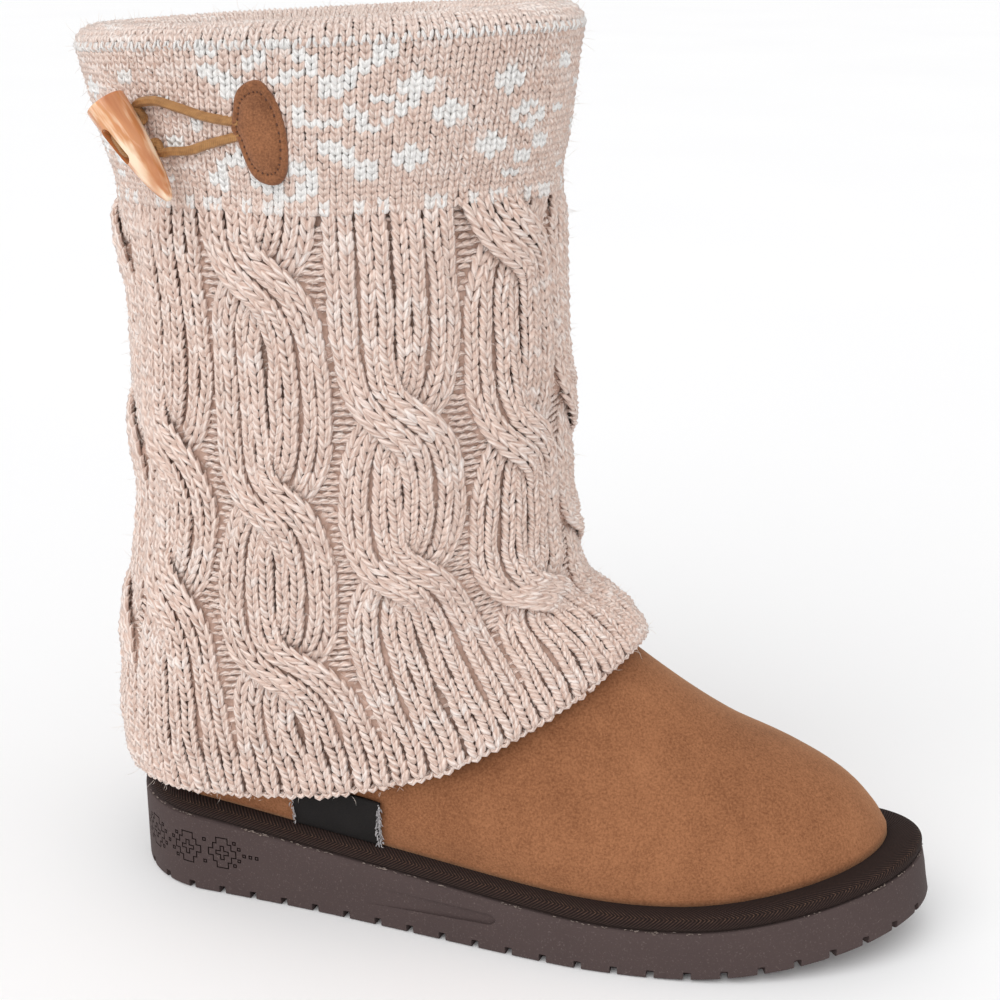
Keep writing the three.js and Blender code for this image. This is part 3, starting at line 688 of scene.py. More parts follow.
def thicken(piece, thick, offset=-1):
    """Gives a sheet its thickness, behind its faces at offset -1 and in front of them at 1"""
    wall = piece.modifiers.new("wall", "SOLIDIFY")
    wall.thickness = thick * MM
    wall.offset = offset


def crease_depth(points, creases):
    depth = np.zeros(points.shape[:-1])
    for crease in creases:
        run = np.array(crease["run"], float)
        run /= np.linalg.norm(run)
        away = points - np.array(crease["at"], float)
        along = away @ run
        beside = np.linalg.norm(away - along[..., None] * run, axis=-1)
        depth += crease["deep"] * np.exp(-((along / crease["long"]) ** 2) - (beside / crease["wide"]) ** 2)
    return depth


angles = np.linspace(0, 2 * np.pi, UPPER_ROUND, endpoint=False)
leg_lines = np.linspace(LEG_START, len(UPPER_FORM) - 1, LEG_LINES)
lines = np.concatenate([np.linspace(0, FOOT_END, FOOT_LINES), leg_lines])
upper_grid = form_points(UPPER_FORM, lines[:, None], angles[None, :])
upper_grid[0, :, 2] = platform_top(upper_grid[0, :, 0]) + GAP - FEATHER_SINK
upper_normals = grid_normals(upper_grid)
upper_grid = upper_grid - upper_normals * crease_depth(upper_grid, UPPER_CREASES)[..., None]
bm = loft(upper_grid)
face_outward(bm)

suede_finish, surface, paint = new_finish("suede", Roughness=0.92, Sheen_Weight=0.35, Sheen_Roughness=0.45,
                                          Sheen_Tint=srgb(235, 190, 150), Specular_IOR_Level=0.2)
coords = paint.node("TexCoord", output=3)
nap = coords.noise(1300, 4, 0.75)
strokes = coords.stretched((1.0, 1.6, 0.6)).noise(75, 4, 0.6)
wash = coords.noise(16, 3, 0.55)
tone = (nap * 0.9 + strokes * 0.25 + wash * 0.25).between(0.48, 0.92)
feed(surface, Base_Color=tone.mix(srgb(106, 63, 38), srgb(166, 113, 78)), Roughness=0.86 + nap * 0.12,
     Normal=bump(nap + strokes * 0.8, 0.5, 0.3 * MM))
thicken(add_piece("suede_upper", bm, suede_finish, "upper"), UPPER_WALL)


# Footbed and lining: a pile fleece footbed lies loose on the platform, and the same fleece is glued to
# the inside of the leg. The pile shows at the collar, so it has real tufts there.
FOOTBED_CLEAR = 3.4
# Rings of the footbed from the middle of its bottom to the middle of its top: share of its width, mm up
FOOTBED_RINGS = (
    (0.02, 0), (0.5, 0), (0.97, 0), (1, 1), (1, 3), (0.97, 3.8), (0.9, 4), (0.5, 4.1), (0.02, 4.1),
)
LINING_INSET, LINING_THICK = 3.4, 1.0
LINING_FROM, LINING_LINES = 0.5, 40
TUFT_COUNT = 3400
TUFT_LONG, TUFT_RADIUS = 2.04, 0.85
TUFT_ROOT, TUFT_SCATTER = 0.6, (1.6, 1.6, 2.8)
TUFTS_FROM = 0.72
TUFT_STANDS, TUFT_LEANS, TUFT_DROOPS, TUFT_CURLS = 0.55, 0.8, -0.5, 0.9

fleece_finish, surface, paint = new_finish("pile_fleece", Roughness=0.95, Sheen_Weight=0.4,
                                           Sheen_Roughness=0.5)
coords = paint.node("TexCoord", output=3)
curls = coords.noise(260, 4, 0.65)
feed(surface, Base_Color=curls.between(0.3, 0.7).mix(srgb(214, 204, 189), srgb(245, 240, 230)),
     Normal=bump(curls, 0.9, 1.2 * MM))

edge = (upper_grid - upper_normals * (UPPER_WALL + FOOTBED_CLEAR))[0]
rings = []
for share, height in FOOTBED_RINGS:
    spine = edge.copy()
    spine[:, 0] = edge[:, 0] * (0.9 + 0.1 * share) - 0.5
    spine[:, 1] = edge[:, 1].mean()
    ring = spine + (edge - spine) * np.array([1, share, 0])
    ring[:, 2] = platform_top(ring[:, 0]) + GAP + height
    rings.append(ring)
bm = loft(rings)
close_ends(bm)
add_piece("footbed", bm, fleece_finish, "insole")

lining_lines = np.linspace(LINING_FROM, len(UPPER_FORM) - 1, LINING_LINES)
lining_grid = form_points(UPPER_FORM, lining_lines[:, None], angles[None, :])
lining_normals = grid_normals(lining_grid)
lining_grid = lining_grid - lining_normals * LINING_INSET
bm = loft(lining_grid)
face_outward(bm)
bmesh.ops.reverse_faces(bm, faces=bm.faces[:])
thicken(add_piece("fleece_lining", bm, fleece_finish), LINING_THICK, 1)

tuft_rows = rng.integers(int(LINING_LINES * TUFTS_FROM), LINING_LINES, TUFT_COUNT)
tuft_columns = rng.integers(0, UPPER_ROUND, TUFT_COUNT)
inward = -lining_normals[tuft_rows, tuft_columns]
scatter = rng.normal(0, TUFT_SCATTER, (TUFT_COUNT, 3))
scatter -= inward * (scatter * inward).sum(1, keepdims=True)
root = lining_grid[tuft_rows, tuft_columns] + inward * TUFT_ROOT + scatter
root, inward = root[:, None], inward[:, None]
lean = rng.normal(0, TUFT_LEANS, (TUFT_COUNT, 1, 3)) + np.array([0, 0, TUFT_DROOPS])
shares = np.linspace(0, 1, 5)[None, :, None]
curl = rng.normal(0, TUFT_CURLS, (TUFT_COUNT, 1, 3)) * np.sin(shares * 2.6)
tufts = root + (inward * TUFT_STANDS + lean * shares) * shares * TUFT_LONG + curl
radii = TUFT_RADIUS * np.array([0, 1, 1, 0.7, 0]) * rng.uniform(0.7, 1.2, (TUFT_COUNT, 1))
mesh = yarn_mesh("fleece_pile", fleece_finish, tufts, radii, inward, 4)
ride_piece("fleece_pile", mesh)


# Side tag: a blank black woven ribbon, folded over and caught at its ends, sewn flat to the outer side
# of the suede just above the tape. Its cut edges fray into a few pale threads.
TAG_BACK_X, TAG_FRONT_X = -64.3, -33.5
TAG_LOW_OVER, TAG_HIGH_OVER = 0.1, 17
TAG_PROUD, TAG_THICK = 0.35, 0.9
TAG_COLUMNS, TAG_ROWS = 44, 22
TAG_SLANT = 0.06
EDGE_CURL, TAG_RIPPLE = 0.35, 0.25
FRAY_RADIUS, FRAY_LONG = 0.16, 1.3


def on_form_side(form, x, z, proud):
    """Points on a form's outer side at x and z, standing proud of it, found by halving"""
    x, z = np.broadcast_arrays(np.asarray(x, float), np.asarray(z, float))
    low, high = np.zeros(x.shape), np.full(x.shape, len(form) - 1.0)
    for _ in range(28):
        middle = (low + high) / 2
        row = table_curve(range(len(form)), form, middle)
        along = np.clip((x - row[..., 0]) / (row[..., 2] - row[..., 0]), 0, 1)
        point = form_points(form, middle, np.arccos(1 - 2 * along))
        below = point[..., 2] < z
        low, high = np.where(below, middle, low), np.where(below, high, middle)
    return np.stack([x, point[..., 1] - proud, z], -1)


columns = np.linspace(TAG_BACK_X, TAG_FRONT_X, TAG_COLUMNS)
lifts = np.linspace(TAG_LOW_OVER, TAG_HIGH_OVER, TAG_ROWS)
xs, over = np.meshgrid(columns, lifts)
off_middle = (xs - (TAG_BACK_X + TAG_FRONT_X) / 2) / ((TAG_FRONT_X - TAG_BACK_X) / 2)
ripple = TAG_RIPPLE * np.sin(xs * 0.42) * np.sin(over * 0.3)
bulge = TAG_PROUD + TAG_THICK + EDGE_CURL * off_middle**6 + ripple
tag_grid = on_form_side(UPPER_FORM, xs + TAG_SLANT * over, platform_top(xs) + over, bulge)
bm = loft(tag_grid, closed=False)
face_outward(bm)
if sum(f.normal.y for f in bm.faces) > 0:
    bmesh.ops.reverse_faces(bm, faces=bm.faces[:])

tag_finish, surface, paint = new_finish("woven_ribbon", Roughness=0.8, Specular_IOR_Level=0.25)
uv = paint.node("TexCoord", output=2)
warp = uv.stretched((9.0, 2.5, 1)).noise(1.0, 2)
satin = uv.stretched((1.2, 7.0, 1)).noise(1.0, 2)
feed(surface, Base_Color=(warp * satin * 2).between(0.3, 0.8).mix(srgb(10, 8, 8), srgb(31, 27, 26)),
     Normal=bump(warp + satin, 0.5, 0.12 * MM))
thicken(add_piece("side_tag", bm, tag_finish), TAG_THICK)

fray_finish = mottled("fray_thread", 900, (104, 102, 106), (214, 210, 210), Roughness=0.9)
fray = []
for column, threads, spread in ((0, 2, 0.5), (TAG_COLUMNS - 1, 6, 1.7)):
    for row in range(1, TAG_ROWS - 1):
        for _ in range(threads):
            back = rng.uniform(-0.3, spread * (1 - 0.7 * row / TAG_ROWS))
            off = np.array([0.3 - back if column else back, -0.15, 0])
            start = tag_grid[row, column] + rng.normal(0, 0.2, 3) + off
            fall = rng.normal(0, 0.4, 3) * np.array([1, 0.4, 1]) + np.array([0.1, -0.05, -0.8])
            bend = rng.normal(0, 0.25, 3)
            fray.append([start + fall * t * FRAY_LONG + bend * math.sin(3 * t) for t in np.linspace(0, 1, 5)])
fray = np.array(fray)
radii = FRAY_RADIUS * np.array([0, 1, 1, 0.9, 0]) * rng.uniform(0.7, 1.3, (len(fray), 1))
mesh = yarn_mesh("tag_fray", fray_finish, fray, radii, (0, -1, 0), 4)
ride_piece("tag_fray", mesh)


# Knitted sleeve: one tube of marled yarn that hangs from the collar down to the instep and turns in over
# the leg's top edge as a facing. This sets its shape and yarn, and the sections below lay its stitches.
EVEN_ROW = 6
CLOTH_LINES, CLOTH_ROUND = 300, 480
RIM_WIDE, RIM_HIGH = 13.4, 4.5
FACING_LONG, FACING_SPREAD = 24, 0.12
# The shape of the sleeve, in rows like the upper's
SLEEVE_FORM = (
    (-138.2, 40.4, 40.6, 93.2, 47.5, 46, 46, 44, 62, 62, 3, 0.35, 2.8),
    (-139.5, 47, 38.5, 97.6, 48.5, 46, 46, 46, 62, 62, 2.5, 0.3, 2.5),
    (-139.5, 60, 32, 103.2, 50, 47, 47, 52, 64, 64, 2, 0.2, 2.1),
    (-137, 80, 22, 111, 51.5, 49.5, 49.5, 58, 66, 66, 1, 0.1, 1.5),
    (-133, 105, 15, 124, 52.5, 52, 52, 64, 68, 68, 0, 0, 1.2),
    (-129, 140, 13.5, 146, 54, 54, 54, 68, 70, 70, 0, 0, 1),
    (-127, 190, 11.5, 192, 54.5, 54.5, 54.5, 69, 69, 69, 0, 0, 1),
    (-129, 226, 10.5, 230, 56, 56, 56, 70, 70, 70, 0, 0, 1),
    (-134, 253, 12.5, 257, 58, 58, 58, 73, 73, 73, 0, 0, 1),
    (-140, 276, 16, 284, 60, 60, 60, 78, 78, 78, 0, 0, 1),
)
# Soft folds of the sleeve: centre as share round and mm up, half lengths round and up, depth in mm
SLEEVE_FOLDS = (
    {"at": (0.5, 44), "half": (46, 9), "deep": 2.0},
    {"at": (0.47, 66), "half": (34, 8), "deep": -1.6},
    {"at": (0.40, 60), "half": (26, 9), "deep": 1.2},
    {"at": (0.60, 58), "half": (28, 9), "deep": 1.4},
    {"at": (0.02, 92), "half": (40, 12), "deep": 1.2},
    {"at": (0.12, 128), "half": (20, 26), "deep": -1.0},
    {"at": (0.30, 120), "half": (18, 30), "deep": 0.8},
    {"at": (0.70, 110), "half": (24, 24), "deep": 1.0},
    {"at": (0.85, 130), "half": (22, 26), "deep": -1.0},
)
BAND_WAIST = {"up": 194, "half": 8, "deep": 1.2}

fine = np.linspace(0, 2 * np.pi, 1441)
even = form_points(SLEEVE_FORM, EVEN_ROW, fine)
run = run_along(even)
EVEN_ROUND = run[-1]
cloth_angles = np.interp(np.arange(CLOTH_ROUND) / CLOTH_ROUND * EVEN_ROUND, run, fine)
cloth_rows = np.linspace(0, len(SLEEVE_FORM) - 1, CLOTH_LINES)
cloth = form_points(SLEEVE_FORM, cloth_rows[:, None], cloth_angles[None, :])
rim = cloth[-1]
rim_out = grid_normals(cloth)[-1] * np.array([1, 1, 0])
rim_out /= np.linalg.norm(rim_out, axis=1, keepdims=True)
turns = np.linspace(0, np.pi, 25)[1:]
over_rim = [rim - rim_out * RIM_WIDE / 2 * (1 - math.cos(a)) + np.array([0, 0, RIM_HIGH * math.sin(a)])
            for a in turns]
inside = [over_rim[-1] + rim_out * FACING_SPREAD * down - np.array([0, 0, down])
          for down in np.linspace(0, FACING_LONG, 30)[1:]]
cloth = np.concatenate([cloth, np.array(over_rim), np.array(inside)])
cloth_up = run_along(cloth[:, CLOTH_ROUND // 4])
RIM_UP = cloth_up[CLOTH_LINES - 1]

share_grid = (np.arange(CLOTH_ROUND) / CLOTH_ROUND)[None, :]
depth = np.zeros(cloth.shape[:2])
for soft_fold in SLEEVE_FOLDS:
    across = (share_grid - soft_fold["at"][0] + 0.5) % 1 - 0.5
    away = (across * EVEN_ROUND / soft_fold["half"][0]) ** 2
    above = ((cloth_up[:, None] - soft_fold["at"][1]) / soft_fold["half"][1]) ** 2
    depth += soft_fold["deep"] * np.exp(-away - above)
depth += BAND_WAIST["deep"] * np.exp(-(((cloth_up[:, None] - BAND_WAIST["up"]) / BAND_WAIST["half"]) ** 2))
cloth = cloth - grid_normals(cloth) * depth[..., None]
cloth_normals = grid_normals(cloth)


def on_cloth(share, up, proud):
    """Points and normals of the sleeve at a share round it and mm up from its hem, standing proud"""
    share, up, proud = np.broadcast_arrays(share, up, proud)
    column = (share % 1) * CLOTH_ROUND
    line = np.interp(up, cloth_up, np.arange(len(cloth_up)))
    c0 = np.floor(column).astype(int)
    l0 = np.clip(np.floor(line).astype(int), 0, len(cloth_up) - 2)
    fc, fl = (column - c0)[..., None], (line - l0)[..., None]
    corners = ((l0, c0, (1 - fl) * (1 - fc)), (l0, c0 + 1, (1 - fl) * fc),
               (l0 + 1, c0, fl * (1 - fc)), (l0 + 1, c0 + 1, fl * fc))
    point = sum(cloth[l, c % CLOTH_ROUND] * weight for l, c, weight in corners)
    normal = sum(cloth_normals[l, c % CLOTH_ROUND] * weight for l, c, weight in corners)
    normal = normal / np.linalg.norm(normal, axis=-1, keepdims=True)
    point = point + np.minimum(up, 0)[..., None] * np.array([0, 0, 1.0])
    return point + normal * proud[..., None], normal


def row_up(row):
    """mm up from the hem of a row position of the sleeve's form"""
    return np.interp(row, cloth_rows, cloth_up[:CLOTH_LINES])


knit_finish, surface, paint = new_finish("marled_knit", Roughness=0.95, Sheen_Weight=0.3, Sheen_Roughness=0.5,
                                         Specular_IOR_Level=0.15)
coords = paint.node("TexCoord", output=3)
yarn_round, yarn_along = paint.node("TexCoord", output=2).split()
white = paint.node("Attribute", {"attribute_name": "white"}, output=2)
fleck = paint.node("Attribute", {"attribute_name": "fleck"}, output=2)
ply = ((yarn_round * 3 + yarn_along * 1.6 + fleck * 2) * (2 * math.pi)).wave()
drawn = paint.node("CombineXYZ", {}, {0: yarn_round * 9 + yarn_along * 4, 1: yarn_along * 2.6, 2: fleck * 37})
fibre = drawn.noise(1.0, 3, 0.6)
slub = coords.noise(330, 3, 0.6)
marl = (fleck * 0.4 + ply * 0.25 + slub * 0.5 + fibre * 1.1).between(1.0, 1.65) * 0.8
shadow = (fibre * 0.75 + slub * 0.35 + ply * 0.25).between(0.42, 0.9)
beige = shadow.mix(srgb(199, 168, 153), srgb(249, 230, 219))
yarn = marl.mix(beige, srgb(248, 240, 235))
snow = (fibre * 0.6 + ply * 0.3).between(0.2, 0.6).mix(srgb(228, 224, 221), srgb(250, 249, 247))
feed(surface, Base_Color=white.mix(yarn, snow), Normal=bump(ply * 0.6 + fibre, 1.0, 0.4 * MM))

# The backing is the same yarn coloured darker than the legs: painted shade in the gaps between ribs and
# wales.
backing_shade_finish, surface, paint = new_finish("shaded_knit_backing", Roughness=0.95, Specular_IOR_Level=0.1)
coords = paint.node("TexCoord", output=3)
loops = coords.noise(420, 3, 0.6)
feed(surface, Base_Color=loops.between(0.3, 0.7).mix(srgb(164, 134, 119), srgb(204, 174, 160)),
     Normal=bump(loops, 0.8, 0.8 * MM))


# Cable knit: ten cables round the sleeve, each of four ribs that are two wales wide, over a close backing
# that follows their relief. At each crossing the two pairs of ribs swap sides, the back pair over the
# front one. All wales run on into the cuff.
CABLES = 10
CABLE_START = 0.045
RIB = EVEN_ROUND / CABLES / 4
WALE_IN_RIB = 0.224
COURSE, FIRST_COURSE, LEG_LONG = 2.7, 1.5, 1.9
CUFF_TOP = 13.5
BAND_LOW = float(row_up(7.18))
CROSS_HALF = 25
CROSS_EASE = 0.13
CROSS_OVER, CROSS_UNDER, CROSS_LONG = 2.2, 1.5, 11
CABLE_DOME, RIB_CROWN = 2.0, 1.7
YARN_RADIUS = 1.08
BACKING_SINK, BAND_SINK, BACKING_THICK = 1.9, 1.0, 1.4
# Where each cable crosses, as row positions on the sleeve's form, from the top down
CROSSINGS = (
    (6.7, 5.3, 3.4), (5.37, 4.05), (6.63, 5.1, 3.1), (5.63, 4.33), (6.83, 5.43, 3.47),
    (5.5, 4.2), (6.7, 5.2, 3.2), (5.45, 4.15), (6.6, 5.15, 3.2), (5.5, 4.25),
)
LEG_SHARES = np.array([0.0, 0.2, 0.5, 0.8, 1.0])
LEG_HEIGHTS = np.array([-0.5, 0.4, 0.8, 0.45, -0.6])
LEG_RADII = np.array([0.0, 0.85, 1.0, 0.85, 0.0])


def pair_path(cable, pair, up):
    """How far a pair of ribs stands from its cable's middle, in mm round, and over the cloth"""
    side = np.full(np.broadcast(cable, up).shape, -1.0)
    lift = np.zeros(side.shape)
    for number, heights in enumerate(CROSSINGS):
        here = np.broadcast_to(cable == number, side.shape)
        for turn, row in enumerate(heights):
            at = row_up(row)
            below = np.clip((at - up) / CROSS_HALF, -1, 1)
            swapped = 0.5 + 0.5 * below * np.sqrt((1 + CROSS_EASE) / (below**2 + CROSS_EASE))
            side = side + np.where(here, 2 * (-1) ** turn * swapped, 0)
            near = np.exp(-(((up - at) / CROSS_LONG) ** 2))
            over = np.where(pair == turn % 2, CROSS_OVER, -CROSS_UNDER)
            lift = lift + np.where(here, over * near, 0)
    return np.where(pair == 0, side, -side) * RIB, lift


def evened(up):
    """1 where the wales stand evenly apart, in the cuff and just below the band, and 0 in the cables"""
    return np.maximum(smooth((CUFF_TOP + 6 - up) / 8), smooth((up - BAND_LOW + 9) / 8))


def cable_relief(share, up):
    """How far the cables hold the cloth out"""
    relief = np.zeros(np.broadcast(share, up).shape)
    for cable in range(CABLES):
        for pair in range(2):
            middle, lift = pair_path(cable, pair, up)
            off = share - CABLE_START - cable / CABLES - middle / EVEN_ROUND
            away = np.abs((off + 0.5) % 1 - 0.5) * EVEN_ROUND
            dome = CABLE_DOME * (1 - np.minimum(1, (middle / (2 * RIB)) ** 2))
            relief = np.maximum(relief, (lift + dome) * smooth((RIB * 1.15 - away) / (RIB * 0.4)))
    return relief * (1 - evened(up))


def wale_points(cable, pair, wale, up, across):
    """Share round, mm up and lift of points on a wale, with across in mm beside the wale's middle"""
    middle, lift = pair_path(cable, pair, up)
    middle = middle + 0.35 * np.sin(up * 0.11 + cable * 2.1 + pair + 0.7 * wale)
    middle = middle + 0.2 * np.sin(up * 0.31 + 3 * wale)
    (above, _), (below, _) = (pair_path(cable, pair, up + step) for step in (0.25, -0.25))
    tilt = np.arctan2(above - below, 0.5)
    rib = np.where(wale < 2, -0.5, 0.5)
    in_rib = rib + np.where(wale % 2 == 0, -WALE_IN_RIB, WALE_IN_RIB)
    in_cuff = (wale - 1.5) / 2
    off = (in_rib + (in_cuff - in_rib) * evened(up)) * RIB
    squeeze = 1 - 0.16 * np.abs(np.sin(tilt))
    beside = off * squeeze + across
    round_mm = middle + beside * np.cos(tilt)
    crown = RIB_CROWN * np.abs(np.where(wale % 2 == 0, -1, 1) * 0.5 + across / RIB)
    dome = CABLE_DOME * (1 - np.minimum(1, ((middle + off) / (2 * RIB)) ** 2))
    lift = lift + (dome - crown) * (1 - evened(up))
    share = CABLE_START + cable / CABLES + round_mm / EVEN_ROUND
    return share, up - beside * np.sin(tilt), lift


def flecks(courses, wales, amount):
    """Marl of each stitch: a random field drawn out along the courses, where the yarn's pale ply shows"""
    field = rng.normal(0, 1, (courses, wales))
    drawn = (field + np.roll(field, 1, 1) + 0.7 * np.roll(field, 2, 1)) / 1.6
    return np.clip(0.5 * (drawn + amount), 0, 1.2)


lines = np.concatenate([np.arange(0, CLOTH_LINES, 4), np.arange(CLOTH_LINES, len(cloth_up), 2)])
share = np.arange(0, CLOTH_ROUND, 2)[None, :] / CLOTH_ROUND
up = cloth_up[lines][:, None]
sink = BACKING_SINK + (BAND_SINK - BACKING_SINK) * smooth((up - BAND_LOW) / 4)
backing_grid, _ = on_cloth(share, up, cable_relief(share, up) - sink)
bm = loft(backing_grid)
face_outward(bm)
thicken(add_piece("shaded_knit_backing", bm, backing_shade_finish, "shaft"), BACKING_THICK)

courses = int((BAND_LOW - FIRST_COURSE) / COURSE) + 1
stitch_fleck = flecks(courses, CABLES * 8, 0.1)
cable, pair, wale, course, hand = np.meshgrid(
    np.arange(CABLES), np.arange(2), np.arange(4), np.arange(courses), (-1, 1), indexing="ij")
cable, pair, wale, course, hand = (a.reshape(-1, 1) for a in (cable, pair, wale, course, hand))
jitter = rng.normal(0, 1, (len(cable), 4))
cuffed = smooth((CUFF_TOP + 2 - course * COURSE) / 6)
wide = RIB * (2 * WALE_IN_RIB) * (1 + 0.08 * cuffed)
shares = LEG_SHARES[None, :]
up = FIRST_COURSE + COURSE * (course + LEG_LONG * shares - 0.35 + 0.06 * jitter[:, :1])
across = hand * wide * (0.03 + 0.42 * shares + 0.02 * jitter[:, 1:2])
share, up, lift = wale_points(cable, pair, wale, up, across)
lift = lift + YARN_RADIUS * LEG_HEIGHTS[None, :] + 0.12 * jitter[:, 2:3] - 0.35
centres, outward = on_cloth(share, up, lift)
radii = YARN_RADIUS * LEG_RADII[None, :] * (1 + 0.06 * jitter[:, 3:] + 0.12 * cuffed)
leg_fleck = stitch_fleck[course[:, 0], cable[:, 0] * 8 + pair[:, 0] * 4 + wale[:, 0]] + 0.08 * jitter[:, 0]
for name, half in (("cables_outer", cable[:, 0] < CABLES / 2), ("cables_inner", cable[:, 0] >= CABLES / 2)):
    mesh = yarn_mesh(name, knit_finish, centres[half], radii[half], outward[half], 4,
                     fleck=leg_fleck[half])
    ride_piece(name, mesh)


# Purl ground: the reverse stitches of the same yarn between the cables, seen as rows of small arched
# bumps in the hollows beside each crossing and in the gaps between the ribs and the cuff's wales.
GROUND_COLUMNS = 132
GROUND_COURSE, GROUND_FIRST = 2.1, 2.5
GROUND_RADIUS = 0.85
GROUND_SINK, GROUND_ARCH = 1.7, 0.9
GROUND_CLEAR = 0.25

ground_rows = int((BAND_LOW - 0.5) / GROUND_COURSE)
column, row = (a.reshape(-1, 1) for a in np.meshgrid(np.arange(GROUND_COLUMNS), np.arange(ground_rows)))
up = GROUND_FIRST + GROUND_COURSE * row
column = column + 0.5 * (row % 2)
wales = [wale_points(c, p, w, up, 0.0)[0] for c in range(CABLES) for p in range(2) for w in range(4)]
gaps = [np.abs((w - column / GROUND_COLUMNS + 0.5) % 1 - 0.5) for w in wales]
bare = np.min(gaps, axis=0)[:, 0] * EVEN_ROUND > GROUND_CLEAR * RIB
column, up = column[bare], up[bare]
shares = LEG_SHARES[None, :]
jitter = rng.normal(0, 1, (len(column), 3))
share = (column + (shares - 0.5) * 1.7 + 0.08 * jitter[:, :1]) / GROUND_COLUMNS
arch = np.sin(np.pi * shares)
up = up + GROUND_ARCH * arch + 0.2 * jitter[:, 1:2]
centres, outward = on_cloth(share, up, -GROUND_SINK + 0.5 * arch + 0.12 * jitter[:, 2:3])
radii = GROUND_RADIUS * LEG_RADII[None, :] * rng.uniform(0.85, 1.15, (len(column), 1))
ground_fleck = rng.uniform(0, 0.5, len(column))
mesh = yarn_mesh("purl_ground", knit_finish, centres, radii, outward, 4, fleck=ground_fleck)
ride_piece("purl_ground", mesh)


# Hem: the bound-off lower edge of the cuff, knitted on in the same yarn. It is two rows of small round
# loops, the inner one half a loop along, with two loops to each wale.
HEM_RADIUS = 0.85
HEM_LOOPS = CABLES * 16
HEM_TOP, HEM_DROP = 2.4, 2.0

index = np.arange(HEM_LOOPS * 2).reshape(-1, 1)
chain = index // HEM_LOOPS
shares = LEG_SHARES[None, :]
jitter = rng.normal(0, 1, (len(index), 3))
share = CABLE_START + (index + 0.5 * chain + (shares - 0.5) * 1.15 + 0.1 * jitter[:, :1]) / HEM_LOOPS
arch = np.sin(np.pi * shares)
up = HEM_TOP - (HEM_DROP - 0.6 * chain) * arch**0.6 + 0.3 * jitter[:, 1:2]
centres, outward = on_cloth(share, up, -0.1 - 1.1 * chain + 0.3 * arch + 0.2 * jitter[:, 2:3])
radii = HEM_RADIUS * LEG_RADII[None, :] * rng.uniform(0.85, 1.1, (len(index), 1))
hem_fleck = rng.uniform(0, 0.9, len(index))
mesh = yarn_mesh("bound_hem", knit_finish, centres, radii, outward, 5, fleck=hem_fleck)
ride_piece("bound_hem", mesh)


# Patterned band: plain finer stitches in two colours above the cables, with diamonds and snow stars of
# white yarn, a broken white row at the lower edge and small white marks along the fold. The collar turns
# over there and runs on as the plain facing inside.
BAND_WALES = 120
BAND_COURSE = 1.9
BAND_YARN = 0.98
BAND_LEAN, BAND_LIFT = 0.07, 0.1
BAND_LEG_LONG = 1.6
FOLD_AFTER, FACING_AFTER = 2, 29
MOTIFS = {
    "lozenge": (".#.", "###", "###", ".#."),
    "ring": (".##.", "##.#", "#.##", ".##."),
    "bud": ("##", "##"),
    "dot": ("##",),
    "star": (
        ".#.....##..........",
        ".##...#..#.....##..",
        ".....##..##....##..",
        ".##..#....#...##...",
        ".###....###..##....",
        "..###..##..###.....",
        "...##......###.....",
        "...##......##......",
        "....#..........##..",
        ".........#...#...##",
        ".........#...##..#.",
        "#........####.#.#..",
        "#.............##...",
        "...................",
        "...........##......",
        "....##.....###.....",
        "...###......##.....",
        "..###...##...###...",
        "..#.....###...##...",
        ".##..##...#...##...",
        ".##..###.##........",
        "..#...##.##........",
        ".......###.........",
        ".......###.........",
        "........#..........",
    ),
}
# Each motif's middle as wale and course of the first repeat, counted from the band's lower edge
REPEAT = 40
MOTIF_PLACES = (
    ("star", 34, 12), ("lozenge", 43, 17), ("lozenge", 51, 17), ("lozenge", 46, 13), ("lozenge", 43, 7),
    ("lozenge", 50, 8), ("ring", 54, 12), ("bud", 58, 19), ("dot", 58, 13), ("bud", 56, 8), ("bud", 54, 6),
    ("dot", 53, 4), ("dot", 62, 16), ("bud", 63, 9), ("dot", 61, 4),
)
LOW_ROW = "#..#.##...#..#.#...##..#.#"

band_courses = int((RIM_UP + FACING_AFTER - BAND_LOW) / BAND_COURSE)
rim_course = int((RIM_UP + FOLD_AFTER - BAND_LOW) / BAND_COURSE)
chart = np.zeros((band_courses, BAND_WALES))
for motif, middle, height in MOTIF_PLACES:
    marks = MOTIFS[motif]
    for line, text in enumerate(marks):
        for place, mark in enumerate(text):
            if mark == "#":
                repeats = REPEAT * np.arange(BAND_WALES // REPEAT)
                wales_at = (middle + place - len(text) // 2 + repeats) % BAND_WALES
                chart[height + len(marks) // 2 - line, wales_at] = 1
chart[:2] = [0.85 * (LOW_ROW[i % len(LOW_ROW)] == "#") for i in range(BAND_WALES)]
chart[rim_course:] = 0.15

stitch_fleck = flecks(band_courses, BAND_WALES, 0.2)
wale, course, hand = np.meshgrid(np.arange(BAND_WALES), np.arange(band_courses + 1), (-1, 1), indexing="ij")
wale, course, hand = (a.reshape(-1, 1) for a in (wale, course, hand))
on_rim = course == band_courses
course = np.where(on_rim, rim_course - 1, course)
jitter = rng.normal(0, 1, (len(wale), 4))
shares = LEG_SHARES[None, :]
sway = 0.5 * np.sin(2 * np.pi * (wale / BAND_WALES * 5 + 0.3)) * (1 - course / band_courses)
up = BAND_LOW + BAND_COURSE * (course + BAND_LEG_LONG * shares - 0.3 + 0.06 * jitter[:, :1]) + sway
slant = np.where(on_rim, 0.4 - 0.34 * shares, 0.06 + 0.36 * shares)
turned = np.where(course < rim_course, 0.5, 1.0)
share = (wale + turned + hand * slant + 0.03 * jitter[:, 1:2]) / BAND_WALES
share = share + BAND_LEAN * np.minimum(up - (BAND_LOW + RIM_UP) / 2, 24) / EVEN_ROUND
rise = BAND_YARN * LEG_HEIGHTS[None, :] * 0.9 + 0.08 * jitter[:, 2:3] + BAND_LIFT + 0.6 * on_rim
centres, outward = on_cloth(share, up, rise)
leg_white = np.maximum(chart[course, wale], 0.85 * on_rim)[:, 0]
